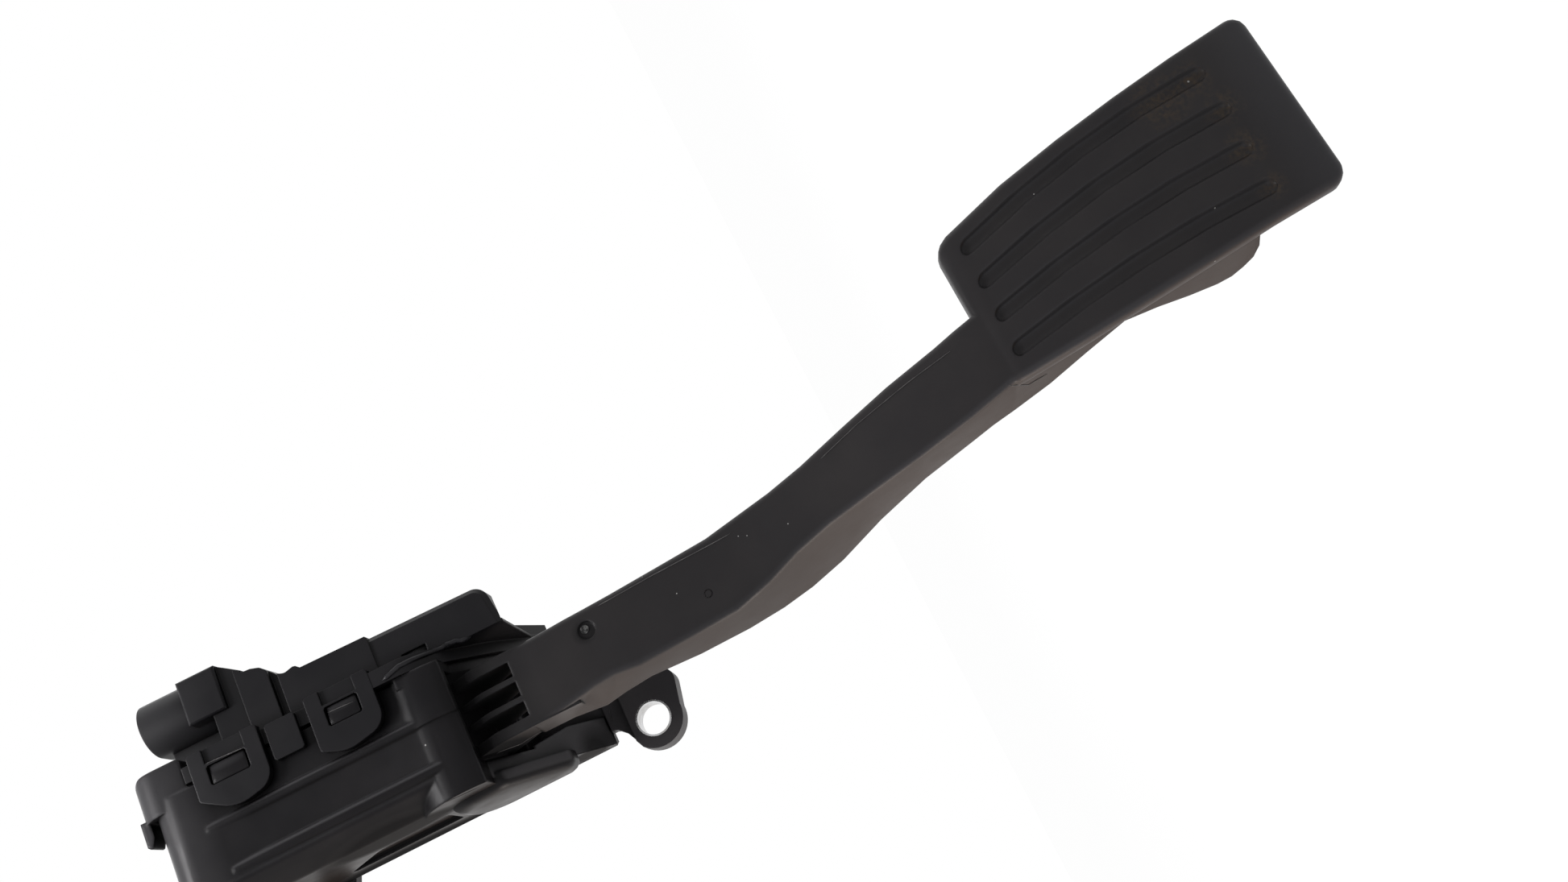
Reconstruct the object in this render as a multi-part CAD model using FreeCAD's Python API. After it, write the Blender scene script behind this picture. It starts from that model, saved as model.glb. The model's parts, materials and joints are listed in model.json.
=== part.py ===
import FreeCAD, Part
import math
import os

from FreeCAD import Vector

# Accelerator pedal: a moulded lever with its foot plate, on a sprung pivot in a moulded housing.
# Units are millimetres. +X is the driver's right, +Y points forward to the bulkhead, +Z is up.
# The origin is the centre of the lower mounting bore, on the plane that lies on the bulkhead (Y = 0).

# Pivot and travel
pivot_y = -34.5
pivot_z = 44.5
pedal_travel_deg = 15.0
running_gap = 0.3
straight_corner = 1.3
shaft_clearance = 0.03
seat_clearance = 0.05

# Housing front shell
front_y = -48.0
side_left_x = -2.0
side_right_x = 31.0
housing_wall = 2.6
housing_top_z = 121.0
top_edge_radius = 9.0
side_slope_y = 7.5
side_slope_x = 5.2
side_slope_radius = 2.0
boss_left_x = -2.6
boss_wall = 2.3
boss_step_x = 17.0
boss_step = 0.7
bay_gap = 2.9
bead_radius = 1.5
bead_height = 1.1
bead_run_out = 12.0
bead_steps = 8
bead_x = (18.1, 6.0)
bead_low_z = (46.0, 45.2)
bead_top_z = (107.0, 104.0)
bay_left_x = 3.3
bay_lip_z = 38.5
cap_left_x = 27.0
cap_right_x = 38.4
cap_low_z = 108.5
cap_rise = 3.2
hook_length = 6.0
hook_width = 6.0
hook_back = 4.0
hook_thickness = 2.4
side_bulge_height = 2.6
bulge_edge_width = 3.4
bulge_low_z = 21.5
bulge_top_z = 53.0
bulge_front_y = -40.0
bulge_back_y = -12.0
channel_depth = 1.4
channel_low_z = 56.0
channel_top_z = 90.0

# Rear plate with its flange and lugs
plate_thickness = 4.0
plate_low_z = 12.4
plate_right_x = 35.2
plate_left_x = -1.0
lug_radius = 8.2
upper_web_spread = 12.4
lug_thickness = 8.0
lug_web_thickness = 5.0
lug_right_x = 12.0
lug_right_z = -10.8
lug_face_top_z = 6.8
notch_x = 2.3
notch_z = 11.0
upper_lug_x = -11.0
upper_lug_z = 104.0
bolt_bore_radius = 4.5
sleeve_wall = 0.5
back_pocket_depth = 1.8
back_rib = 2.2

# Pivot pin, bushes and circlip
pin_radius = 4.0
pin_neck_width = 3.6
bush_wall = 1.2
blind_bore_depth = 3.6
circlip_thickness = 0.8
circlip_radius = 5.8
groove_depth = 0.6

# Lever: hub, ribs and tail
hub_radius = 10.0
hub_end_gap = 0.4
skin_end_z = 22.5
skin_thickness = 2.6
arm_wall = 2.4
arm_edge_radius = 1.8
edge_steps = 3
rib_thickness = 1.5
rib_overlap = 13.0
window_width = 3.9
window_left_x = 7.4
rib_left_x = 4.4
rib_right_x = 25.0
tail_length = 17.6
tail_tip_radius = 3.0
tail_width = 12.0
tail_root_below = 5.0

# Foot plate: a curved plate with four grooves, and the foot behind it
pad_top_z = -117.0
pad_middle_z = -162.0
pad_tip_z = -209.4
pad_top_y = -79.85
pad_middle_y = -88.0
pad_tip_y = -86.9
pad_thickness = 4.0
pad_edge_radius = 2.1
pad_tip_corner = 4.5
pad_left_corner = 3.0
pad_right_corner = 4.0
# Left and right edges in (x, z), from the top down
pad_left_edge = ((18.9, -116.5), (19.6, -141.0), (21.6, -168.0),
                 (23.4, -184.0), (24.9, -200.0), (25.8, -209.4))
pad_right_edge = ((58.7, -116.5), (61.9, -127.5), (63.8, -135.5), (66.0, -147.0), (69.2, -166.0),
                  (72.3, -185.0), (76.2, -209.4))
groove_width = 4.5
groove_depth_below = 1.25
groove_ends = (
    ((53.8, -122.2), (65.2, -193.6), 2.0),
    ((44.3, -121.9), (54.2, -194.2), 1.9),
    ((35.1, -121.5), (42.9, -193.0), 1.6),
    ((25.7, -121.0), (31.8, -192.8), 1.3),
)
foot_tip_z = -184.6
foot_end_wall = 5.4
gate_x = 19.7
gate_z = 0.7
gate_radius = 2.3
gate_depth = 0.6

# Spring chamber, slider and springs
chamber_x = 16.0
chamber_radius = 9.8
chamber_wall = 2.6
slider_wall = 1.8
slider_floor = 3.0
slider_height = 13.0
slider_low_z = 56.0
stem_width = 8.0
seat_thickness = 3.6
outer_wire_radius = 0.9
outer_turns = 6.0
inner_wire_radius = 0.65
inner_coil_radius = 4.2
inner_turns = 8.0
coil_steps = 8
wire_sides = 5
spigot_length = 4.0

# Idle stop
ledge_thickness = 3.0
bumper_width = 9.0
bumper_length = 7.0
bumper_height = 4.4
bumper_stem_width = 4.0

# Sensor module on the right side
sensor_plate_thickness = 4.2
sensor_front_y = -43.0
sensor_back_y = -13.0
sensor_floor = 1.6
pocket_margin = 2.4
pocket_top_z = 94.6
lid_thickness = 2.0
lid_margin = 2.2
lid_low_z = 29.0
lid_top_z = 69.0
gasket_thickness = 0.8
board_thickness = 1.6
board_gap = 1.0
board_margin = 0.6
rotor_radius = 7.2
press_clearance = 0.01
rotor_thickness = 5.4
magnet_thickness = 1.0
magnet_outer_radius = 6.2
magnet_inner_radius = 3.2
sensor_gap = 1.0
chip_height = 1.2
chip_size = 5.0

# Connector
shroud_x = 52.6
shroud_y = -29.0
shroud_width = 15.0
shroud_depth = 20.0
shroud_tip_z = 119.5
shroud_low_z = 98.0
shroud_wall = 1.7
socket_depth = 17.0
pin_blade = 1.2
pin_reach = 8.0
pin_pitch = 2.6
pin_row_y = 3.6
# How far below the pocket's top each column's legs leave the board
pin_leg_drop = (9.6, 5.6, 1.8)
neck_front_y = -40.0
neck_low_z = 89.0
neck_top_z = 99.5
case_top_z = 90.0
case_step_z = 55.0
case_step = 0.4
case_bevel = 1.3
case_foot_z = 20.6
case_back_low_z = 27.0
gusset_right_x = 38.4
gusset_edge = ((-22.5, 24.6), (-4.0, 17.8))
rib_gap_low_z = 79.4
rib_gap_top_z = 81.6
rib_gap_depth = 1.6
web_front_y = -30.0
web_back_y = -18.0
web_top_z = 117.0
latch_right_x = 58.8
latch_left_x = 46.6
latch_low_z = 95.0
latch_top_z = 105.8
latch_front_y = -41.5
latch_bevel = 0.5

# Snap clips and the plain tab between them
clip_thickness = 2.2
clip_gap = 0.3
# Of each clip: low z, top z, x of the sharp corner, then x and z of the bowed end
clip_shapes = ((86.2, 105.4, 24.4, 19.2, 97.0), (55.4, 73.0, 22.2, 19.4, 66.6))
clip_side = 4.2
clip_end = 1.5
clip_recess = 0.8
clip_ridge = 0.6
clip_window_left_x = 27.0
clip_window_right_x = 32.2
catch_height = 1.6
catch_length = 3.0
tab_low_z = 76.4
tab_top_z = 84.6
tab_reach_x = 25.6

# Worked out from the sizes above
boss_inner_radius = hub_radius + bay_gap
boss_radius = boss_inner_radius + boss_wall
right_wall_inner_x = side_right_x - housing_wall - 0.4
hub_left_x = bay_left_x + hub_end_gap
hub_right_x = right_wall_inner_x - hub_end_gap
hub_mid_x = chamber_x
half_travel = math.radians(pedal_travel_deg) / 2
tail_y = pivot_y + tail_length * math.cos(half_travel)
tail_z = pivot_z - tail_length * math.sin(half_travel)
chamber_y = pivot_y + tail_length
slider_bottom_z = tail_z + tail_tip_radius + running_gap
chamber_top_z = housing_top_z - housing_wall - 1.6
slider_radius = chamber_radius - running_gap
outer_coil_radius = slider_radius - slider_wall - running_gap - outer_wire_radius
bumper_top_z = tail_z - tail_tip_radius - running_gap
ledge_top_z = bumper_top_z - bumper_height
bumper_y = tail_y
sleeve_radius = bolt_bore_radius + sleeve_wall
bush_radius = pin_radius + shaft_clearance + bush_wall
sensor_plate_x = side_right_x + sensor_plate_thickness
floor_x = sensor_plate_x + sensor_floor
rotor_low_x = side_right_x + circlip_thickness + 2 * running_gap
rotor_top_x = rotor_low_x + rotor_thickness
chip_low_x = rotor_top_x + sensor_gap
board_low_x = chip_low_x + chip_height
board_top_x = board_low_x + board_thickness
ledge_x = board_top_x + board_gap
lid_low_x = ledge_x + gasket_thickness
lid_top_x = lid_low_x + lid_thickness


def box(x0, x1, y0, y1, z0, z1):
    """Block between two corners."""
    return Part.makeBox(x1 - x0, y1 - y0, z1 - z0, Vector(x0, y0, z0))


def rod_x(x0, x1, y, z, radius):
    """Cylinder along X."""
    return Part.makeCylinder(radius, x1 - x0, Vector(x0, y, z), Vector(1, 0, 0))


def rod_y(y0, y1, x, z, radius):
    """Cylinder along Y."""
    return Part.makeCylinder(radius, y1 - y0, Vector(x, y0, z), Vector(0, 1, 0))


def rod_z(z0, z1, x, y, radius):
    """Cylinder along Z."""
    return Part.makeCylinder(radius, z1 - z0, Vector(x, y, z0), Vector(0, 0, 1))


def outline(corners, place):
    """Closed wire through corners (u, v, radius); place turns (u, v) into a point.

    A corner's arc is no larger than its two sides leave room for, and a small corner is cut straight.
    """
    count = len(corners)
    ends = []
    for i in range(count):
        u, v, radius = corners[i]
        corner = Vector(u, v, 0)
        before = Vector(corners[i - 1][0], corners[i - 1][1], 0) - corner
        after = Vector(corners[(i + 1) % count][0], corners[(i + 1) % count][1], 0) - corner
        room = 0.499 * min(before.Length, after.Length)
        before.normalize()
        after.normalize()
        if radius <= 0:
            ends.append((corner, None, corner))
            continue
        half_angle = before.getAngle(after) / 2
        tangent = min(radius / math.tan(half_angle), room)
        radius = tangent * math.tan(half_angle)
        bisector = (before + after).normalize()
        middle = corner + bisector * (radius / math.sin(half_angle) - radius)
        if radius < straight_corner:
            middle = None
        ends.append((corner + before * tangent, middle, corner + after * tangent))
    edges = []
    for i in range(count):
        start, middle, end = ends[i]
        if middle is not None:
            edges.append(Part.Arc(*(place(p.x, p.y) for p in (start, middle, end))).toShape())
        elif start != end:
            edges.append(Part.LineSegment(place(start.x, start.y), place(end.x, end.y)).toShape())
        following = ends[(i + 1) % count][0]
        edges.append(Part.LineSegment(place(end.x, end.y), place(following.x, following.y)).toShape())
    return Part.Wire(edges)


def faceted(corners, steps, place):
    """Points round an outline of (u, v, radius) corners, each rounded corner in as many short lengths."""
    points = []
    for i, (u, v, radius) in enumerate(corners):
        corner = Vector(u, v, 0)
        if radius <= 0:
            points.append(place(u, v))
            continue
        before = (Vector(corners[i - 1][0], corners[i - 1][1], 0) - corner).normalize()
        after_corner = corners[(i + 1) % len(corners)]
        after = (Vector(after_corner[0], after_corner[1], 0) - corner).normalize()
        half_angle = before.getAngle(after) / 2
        centre = corner + (before + after).normalize() * (radius / math.sin(half_angle))
        start = corner + before * (radius / math.tan(half_angle)) - centre
        end = corner + after * (radius / math.tan(half_angle)) - centre
        sweep = start.getAngle(end)
        for step in range(steps + 1):
            share = step / steps
            point = centre + (start * math.sin((1 - share) * sweep) + end * math.sin(share * sweep)) * (
                1 / math.sin(sweep))
            points.append(place(point.x, point.y))
    return points


def prism_x(corners, x0, x1):
    """Outline of (y, z, radius) corners, extruded along X."""
    wire = outline(corners, lambda u, v: Vector(x0, u, v))
    return Part.Face(wire).extrude(Vector(x1 - x0, 0, 0))


def prism_y(corners, y0, y1):
    """Outline of (x, z, radius) corners, extruded along Y."""
    wire = outline(corners, lambda u, v: Vector(u, y0, v))
    return Part.Face(wire).extrude(Vector(0, y1 - y0, 0))


def prism_z(corners, z0, z1):
    """Outline of (x, y, radius) corners, extruded along Z."""
    wire = outline(corners, lambda u, v: Vector(u, v, z0))
    return Part.Face(wire).extrude(Vector(0, 0, z1 - z0))


def eight_sided(u, v, half_width):
    """Corners of an even eight-sided outline about (u, v)."""
    radius = half_width / math.cos(math.pi / 8)
    angles = [math.pi / 4 * (i + 0.5) for i in range(8)]
    return [(u + radius * math.cos(angle), v + radius * math.sin(angle), 0) for angle in angles]


def one_solid(shape):
    """Merge split faces and return the single solid."""
    merged = shape.removeSplitter()
    if len(merged.Solids) != 1:
        raise ValueError("expected one solid, got %d" % len(merged.Solids))
    return merged.Solids[0]


def coil(wire_radius, coil_radius, turns, z0, z1):
    """Open coil spring about the chamber's axis, its wire inside z0 to z1, in short straight lengths."""
    steps = round(turns * coil_steps)
    rise = z1 - z0 - 2 * wire_radius
    sections = []
    for i in range(steps + 1):
        turn = 2 * math.pi * turns * i / steps
        outward = Vector(math.cos(turn), math.sin(turn), 0)
        pitch = rise / (2 * math.pi * turns)
        along = Vector(-math.sin(turn), math.cos(turn), pitch / coil_radius).normalize()
        upward = along.cross(outward)
        centre = Vector(chamber_x, chamber_y, z0 + wire_radius + rise * i / steps) + outward * coil_radius
        corners = []
        for side in range(wire_sides):
            angle = 2 * math.pi * side / wire_sides
            corners.append(centre + outward * (wire_radius * math.cos(angle))
                           + upward * (wire_radius * math.sin(angle)))
        sections.append(corners)
    return flat_faced(sections)


def flat_faced(sections):
    """Solid of flat triangles through sections, each a list of as many points."""
    faces = [Part.Face(Part.makePolygon(end + end[:1])) for end in (sections[0], sections[-1])]
    for near, far in zip(sections, sections[1:]):
        for i in range(len(near)):
            j = (i + 1) % len(near)
            faces.append(Part.Face(Part.makePolygon([near[i], near[j], far[j], near[i]])))
            faces.append(Part.Face(Part.makePolygon([near[i], far[j], far[i], near[i]])))
    solid = Part.Solid(Part.Shell(faces))
    return solid if solid.Volume > 0 else solid.reversed()


# Left wall's front edge, from the flange corner up to the boss, in (y, z)
left_wall_edge = ((-plate_thickness, plate_low_z), (-40.0, 38.0), (front_y + 3.0, 41.5))
# Right plate's front edge, from the flange up to the boss, in (y, z)
right_wall_edge = ((-plate_thickness, 15.6), (-30.0, 28.6), (front_y - 2.4, 44.5))


def housing_outer():
    """Outer form of the front shell: body, boss, side walls, beads, bulge, cap and hook."""
    body = prism_z([
        (side_right_x, -plate_thickness, 0),
        (side_right_x, front_y, 1.0),
        (side_left_x + side_slope_x, front_y, side_slope_radius),
        (side_left_x, front_y + side_slope_y, side_slope_radius),
        (side_left_x, -plate_thickness, 0),
    ], bay_lip_z, housing_top_z)
    profile = prism_x([
        (-plate_thickness, 0, 0),
        (-plate_thickness, housing_top_z, 0),
        (front_y, housing_top_z, top_edge_radius),
        (front_y, 0, 0),
    ], side_left_x - 1, side_right_x + 1)
    body = body.common(profile)
    boss = rod_x(boss_step_x, side_right_x, pivot_y, pivot_z, boss_radius).fuse(
        rod_x(boss_left_x, boss_step_x, pivot_y, pivot_z, boss_radius - boss_step))
    boss = boss.common(box(boss_left_x, side_right_x, pivot_y - boss_radius, pivot_y,
                           bay_lip_z, pivot_z + boss_radius))
    walls = []
    for x0, x1, edge in ((side_left_x + 0.8, bay_left_x, left_wall_edge),
                         (right_wall_inner_x, side_right_x, right_wall_edge)):
        low, middle, top = edge
        inset = 1.2 if edge is right_wall_edge else 0.0
        walls.append(prism_x([
            (low[0], low[1] + inset, 0),
            (middle[0] + inset, middle[1] + inset, 30.0),
            (top[0] + inset, top[1] + inset, 3.0),
            (top[0] + inset, pivot_z + 6.0, 0),
            (low[0], pivot_z + 6.0, 0),
        ], x0, x1))
    foot_width = 7.0
    wedge = prism_z([
        (bay_left_x - 1.0, -30.0, 0),
        (bay_left_x, -30.0, 0),
        (foot_width, -16.0, 3.0),
        (foot_width, -plate_thickness, 0),
        (bay_left_x - 1.0, -plate_thickness, 0),
    ], plate_low_z, 29.0)
    slope = prism_x([
        (left_wall_edge[0][0], left_wall_edge[0][1], 0),
        (left_wall_edge[1][0], left_wall_edge[1][1], 0),
        (left_wall_edge[0][0], left_wall_edge[1][1], 0),
    ], 0, foot_width)
    shell = body.fuse([boss, wedge.common(slope)] + walls)
    for x, low_z, top_z in zip(bead_x, bead_low_z, bead_top_z):
        shell = shell.fuse(bead(x, low_z, top_z))
    return shell.fuse([side_bulge(), cap_with_hook()])


def bead(x, low_z, top_z):
    """Half-round bead on the front face, its upper end running out into the face."""
    sections = []
    for z, size in ((low_z, 0.6), (low_z + 2.0, 1.0), (top_z - bead_run_out, 1.0), (top_z, 0.3)):
        crest_y = front_y - bead_height * size
        centre_y = crest_y + bead_radius
        section = [Vector(x + bead_radius, front_y + bead_radius, z)]
        for i in range(bead_steps + 1):
            angle = math.pi * i / bead_steps
            across = bead_radius * math.cos(angle)
            section.append(Vector(x + across, centre_y - bead_radius * math.sin(angle), z))
        section.append(Vector(x - bead_radius, front_y + bead_radius, z))
        sections.append(section)
    return flat_faced(sections)


def side_bulge():
    """Domed bulge on the left side that covers the pin's blind bore and the slider's guide."""
    steps = 3
    root = Part.Face(bulge_section(0.0, side_left_x + 2.0)).extrude(Vector(-2.0, 0, 0))
    sections = []
    for i in range(steps + 1):
        turn = math.radians(75.0) * i / steps
        inset = bulge_edge_width * (1 - math.cos(turn))
        sections.append(bulge_section(inset, side_left_x - side_bulge_height * math.sin(turn)))
    return root.fuse(Part.makeLoft(sections, True, True))


def bulge_section(inset, x):
    """Outline of the bulge at x, inset from its foot."""
    corner = (bulge_back_y - bulge_front_y) / 2 - 2.0 - inset
    toe_y = (bulge_front_y + bulge_back_y) / 2 + 4.0
    return outline([
        (bulge_back_y - inset, bulge_low_z + inset, 4.0 - inset),
        (bulge_back_y - inset, bulge_top_z - inset, corner),
        (bulge_front_y + inset, bulge_top_z - inset, corner),
        (bulge_front_y + inset, bulge_low_z + 15.0 + inset / 2, 4.0),
        (toe_y + inset / 2, bulge_low_z + inset, 6.0 - inset),
    ], lambda u, v: Vector(x, u, v))


def cap_with_hook():
    """Raised corner cap at the top end with the small hook that hangs from it."""
    cap = prism_y([
        (cap_left_x, cap_low_z, 0.8),
        (cap_right_x, cap_low_z, 0.8),
        (cap_right_x, housing_top_z + cap_rise, 5.0),
        (cap_left_x, housing_top_z + cap_rise, 0.8),
    ], front_y + 0.6, -plate_thickness)
    cap = cap.common(prism_x([
        (-plate_thickness, cap_low_z - 1, 0),
        (-plate_thickness, housing_top_z + cap_rise, 0),
        (front_y + 0.6, housing_top_z + cap_rise, top_edge_radius),
        (front_y + 0.6, cap_low_z - 1, 0),
    ], cap_left_x - 1, cap_right_x + 1))
    hook_low_z = housing_top_z + cap_rise - hook_thickness
    hook = prism_y([
        (cap_left_x + 1.0, hook_low_z, 0),
        (cap_left_x + 1.0, hook_low_z + hook_thickness, 0),
        (cap_left_x - hook_length, hook_low_z + hook_thickness, 1.4),
        (cap_left_x - hook_length, hook_low_z + 1.2, 0.3),
        (cap_left_x - hook_length + 2.5, hook_low_z, 0.3),
    ], front_y + hook_back, front_y + hook_back + hook_width)
    return cap.fuse(hook)


def make_housing():
    """Front shell with the lever bay, the spring chamber and the two bearing bores."""
    shell = housing_outer()
    slope_length = math.hypot(side_slope_x, side_slope_y)
    slope_x, slope_y = side_slope_x / slope_length, side_slope_y / slope_length
    inner_x, inner_y = side_left_x + housing_wall, front_y + housing_wall
    hollow = prism_z([
        (inner_x, -plate_thickness, 0),
        (right_wall_inner_x, -plate_thickness, 0),
        (right_wall_inner_x, inner_y, 0),
        (side_left_x + side_slope_x + housing_wall * (1 - slope_x) / slope_y, inner_y, 0),
        (inner_x, front_y + side_slope_y + housing_wall * (1 - slope_y) / slope_x, 0),
    ], pivot_z + boss_radius + 1.0, chamber_top_z)
    tube = rod_z(pivot_z + 6.0, chamber_top_z, chamber_x, chamber_y, chamber_radius + chamber_wall)
    tube = tube.common(box(bay_left_x - 1, right_wall_inner_x + 1, front_y, -plate_thickness - running_gap,
                           pivot_z, housing_top_z))
    web = box(side_left_x + housing_wall - 1, chamber_x - chamber_radius - 1, chamber_y - 1, chamber_y + 1,
              pivot_z + boss_radius, chamber_top_z)
    shell = shell.cut(hollow).fuse([tube, web])
    bay = rod_x(bay_left_x, right_wall_inner_x, pivot_y, pivot_z, boss_inner_radius)
    mouth = box(bay_left_x, right_wall_inner_x, pivot_y, -plate_thickness, bay_lip_z - 1, pivot_z)
    tail_room = box(bay_left_x, right_wall_inner_x, pivot_y, -plate_thickness, bay_lip_z - 1, pivot_z + 8.5)
    bore = rod_z(pivot_z, chamber_top_z, chamber_x, chamber_y, chamber_radius)
    below = box(bay_left_x, right_wall_inner_x, front_y - boss_wall, pivot_y, bay_lip_z - 3, bay_lip_z)
    shell = shell.cut([bay, mouth, tail_room, bore, below])
    ledge = box(bay_left_x - 0.5, right_wall_inner_x + 0.5, bumper_y - bumper_length / 2 - 1.5,
                -plate_thickness, ledge_top_z - ledge_thickness, ledge_top_z)
    shell = shell.fuse(ledge)
    left_bore = rod_x(bay_left_x - blind_bore_depth, bay_left_x + 1, pivot_y, pivot_z, bush_radius)
    right_bore = rod_x(right_wall_inner_x - 1, side_right_x + 1, pivot_y, pivot_z, bush_radius)
    stem_hole = bumper_stem(ledge_top_z - ledge_thickness - 1, bumper_stem_width)
    channel = prism_x([
        (-14.0, channel_low_z, 0.8),
        (-14.0, channel_top_z, 0.8),
        (-26.0, channel_top_z - 14.0, 6.0),
        (-28.0, channel_low_z, 0.8),
    ], side_left_x - 1.0, side_left_x + channel_depth)
    shell = shell.cut([left_bore, right_bore, stem_hole, channel])
    catches = [clip_catch(shape[0], shape[1]) for shape in clip_shapes]
    return one_solid(shell.fuse(catches))


def clip_catch(low_z, top_z):
    """Wedge on the front face that a snap clip's window hooks over."""
    lock_x = clip_window_left_x + clip_gap
    return prism_z([
        (lock_x, front_y + 0.5, 0),
        (lock_x, front_y - catch_height - clip_gap, 0.3),
        (lock_x + catch_length, front_y, 0),
        (lock_x + catch_length, front_y + 0.5, 0),
    ], low_z + clip_side + 0.5, top_z - clip_side - 0.5)


def make_base_plate():
    """Rear plate: flange, lower lug with its notch, upper lug and a ribbed back."""
    plate = prism_y([
        (plate_left_x, plate_low_z, 0.8),
        (plate_right_x, plate_low_z, 2.0),
        (plate_right_x, housing_top_z, 3.0),
        (plate_left_x, housing_top_z, 3.0),
    ], -plate_thickness, 0)
    lower_ear = prism_y([
        (0, 0.1 - lug_radius, 0),
        (lug_right_x, lug_right_z, 4.0),
        (lug_right_x, plate_low_z, 0),
        (notch_x, plate_low_z, 0),
        (-0.7 * lug_radius, 0.7 * lug_radius, 0),
        (0, 0, 0),
    ], -lug_web_thickness, 0)
    lower_boss = rod_y(-lug_thickness, 0, 0, 0, lug_radius)
    lower_boss = lower_boss.cut(box(-lug_radius, lug_radius, -lug_thickness - 1, -lug_web_thickness,
                                    lug_face_top_z, lug_radius + 1))
    ear_rim = prism_y([
        (0, 0.1 - lug_radius, 0),
        (lug_right_x, lug_right_z, 4.0),
        (lug_right_x, lug_face_top_z, 2.0),
        (0, lug_face_top_z, 0),
    ], -lug_thickness, 0)
    upper_web = prism_y([
        (upper_lug_x, upper_lug_z - lug_radius, 0),
        (plate_left_x + 1.0, upper_lug_z - upper_web_spread, 0),
        (plate_left_x + 1.0, upper_lug_z + upper_web_spread, 0),
        (upper_lug_x, upper_lug_z + lug_radius, 0),
    ], -plate_thickness, 0)
    upper_web = upper_web.common(box(upper_lug_x, plate_left_x + 1.0, -plate_thickness, 0,
                                     plate_low_z, housing_top_z - 3.0))
    upper_boss = rod_y(-lug_thickness, 0, upper_lug_x, upper_lug_z, lug_radius)
    plate = plate.fuse([lower_ear, lower_boss, ear_rim, upper_web, upper_boss])
    holes = [rod_y(-lug_thickness - 1, 1, x, z, sleeve_radius + seat_clearance)
             for x, z in ((0, 0), (upper_lug_x, upper_lug_z))]
    notch_left_x = -lug_radius - 3.0
    notch = prism_y([
        (notch_left_x, plate_low_z, 0),
        (notch_x, plate_low_z, 0),
        (notch_x, notch_z, 1.2),
        (notch_x - 2.4, notch_z - 2.5, 1.8),
        (-0.69 * lug_radius, 0.71 * lug_radius, 0),
        (notch_left_x, 0.71 * lug_radius, 0),
    ], -lug_thickness - 1, 1)
    return one_solid(plate.cut(holes + [notch] + back_pockets()))


def back_pockets():
    """Shallow pockets that leave a grid of ribs on the mounting face."""
    rows, columns = 4, 2
    low_z, top_z = plate_low_z + back_rib + 2, housing_top_z - back_rib - 1
    low_x, top_x = plate_left_x + back_rib, plate_right_x - back_rib
    height = (top_z - low_z - (rows - 1) * back_rib) / rows
    width = (top_x - low_x - (columns - 1) * back_rib) / columns
    pockets = []
    for row in range(rows):
        for column in range(columns):
            x0 = low_x + column * (width + back_rib)
            z0 = low_z + row * (height + back_rib)
            pockets.append(prism_y([
                (x0, z0, 0),
                (x0 + width, z0, 0),
                (x0 + width, z0 + height, 0),
                (x0, z0 + height, 0),
            ], -back_pocket_depth, 1))
    return pockets


def make_sleeve(x, z):
    """Steel sleeve that takes the bolt's clamp load."""
    return rod_y(-lug_thickness, 0, x, z, sleeve_radius).cut(
        rod_y(-lug_thickness - 1, 1, x, z, bolt_bore_radius))


# Arm stations from the windows down to the foot plate:
# (z, left edge x, right edge x, front y, depth of the side walls, outward lean left, right)
arm_stations = (
    (22.5, 4.4, 25.0, -48.0, 10.0, 0.6, 0.6),
    (14.0, 4.8, 25.0, -48.9, 10.0, 1.2, 1.0),
    (5.0, 6.5, 25.1, -50.1, 10.4, 4.0, 1.4),
    (-1.0, 6.8, 25.1, -50.8, 11.0, 3.4, 1.6),
    (-8.0, 5.5, 25.2, -51.6, 12.2, 1.4, 1.8),
    (-22.0, 5.6, 25.5, -53.5, 14.2, 2.1, 2.4),
    (-36.0, 5.8, 25.7, -56.0, 17.0, 2.0, 3.0),
    (-46.0, 8.0, 26.8, -58.4, 21.2, 3.0, 3.6),
    (-55.0, 11.0, 27.7, -60.9, 24.6, 4.3, 3.9),
    (-65.0, 13.0, 29.3, -63.9, 25.8, 4.0, 3.6),
    (-78.0, 14.3, 32.2, -67.9, 23.2, 1.8, 2.6),
    (-92.0, 15.5, 35.0, -72.5, 19.6, 0.6, 1.6),
    (-106.0, 17.3, 37.1, -76.7, 18.0, 0.8, 1.2),
    (-112.0, 18.4, 38.2, -78.6, 16.8, 1.3, 1.1),
    (-118.0, 19.6, 39.2, -80.1, 16.4, 2.0, 1.0),
    (-128.0, 20.8, 41.0, -81.6, 14.2, 2.2, 1.0),
    (-138.0, 21.6, 42.6, -83.6, 10.4, 1.7, 0.8),
    (-148.0, 22.2, 44.0, -85.0, 6.0, 1.2, 0.4),
)
# The foot behind the plate, in the same columns
foot_stations = (
    (-148.0, 22.2, 44.0, -85.0, 6.0, 1.2, 0.4),
    (-157.0, 22.6, 45.0, -85.6, 8.6, 1.6, 0.4),
    (-166.0, 23.0, 45.8, -86.0, 11.8, 2.2, 0.6),
    (-174.0, 23.4, 46.4, -86.2, 14.0, 2.6, 0.8),
    (-178.0, 23.7, 46.5, -86.2, 14.2, 2.7, 0.8),
    (-181.0, 24.0, 46.6, -86.1, 12.6, 2.6, 0.8),
    (-183.4, 24.2, 46.6, -86.0, 10.0, 2.4, 0.8),
    (foot_tip_z, 24.4, 46.6, -85.9, 6.0, 1.8, 0.4),
)


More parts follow.
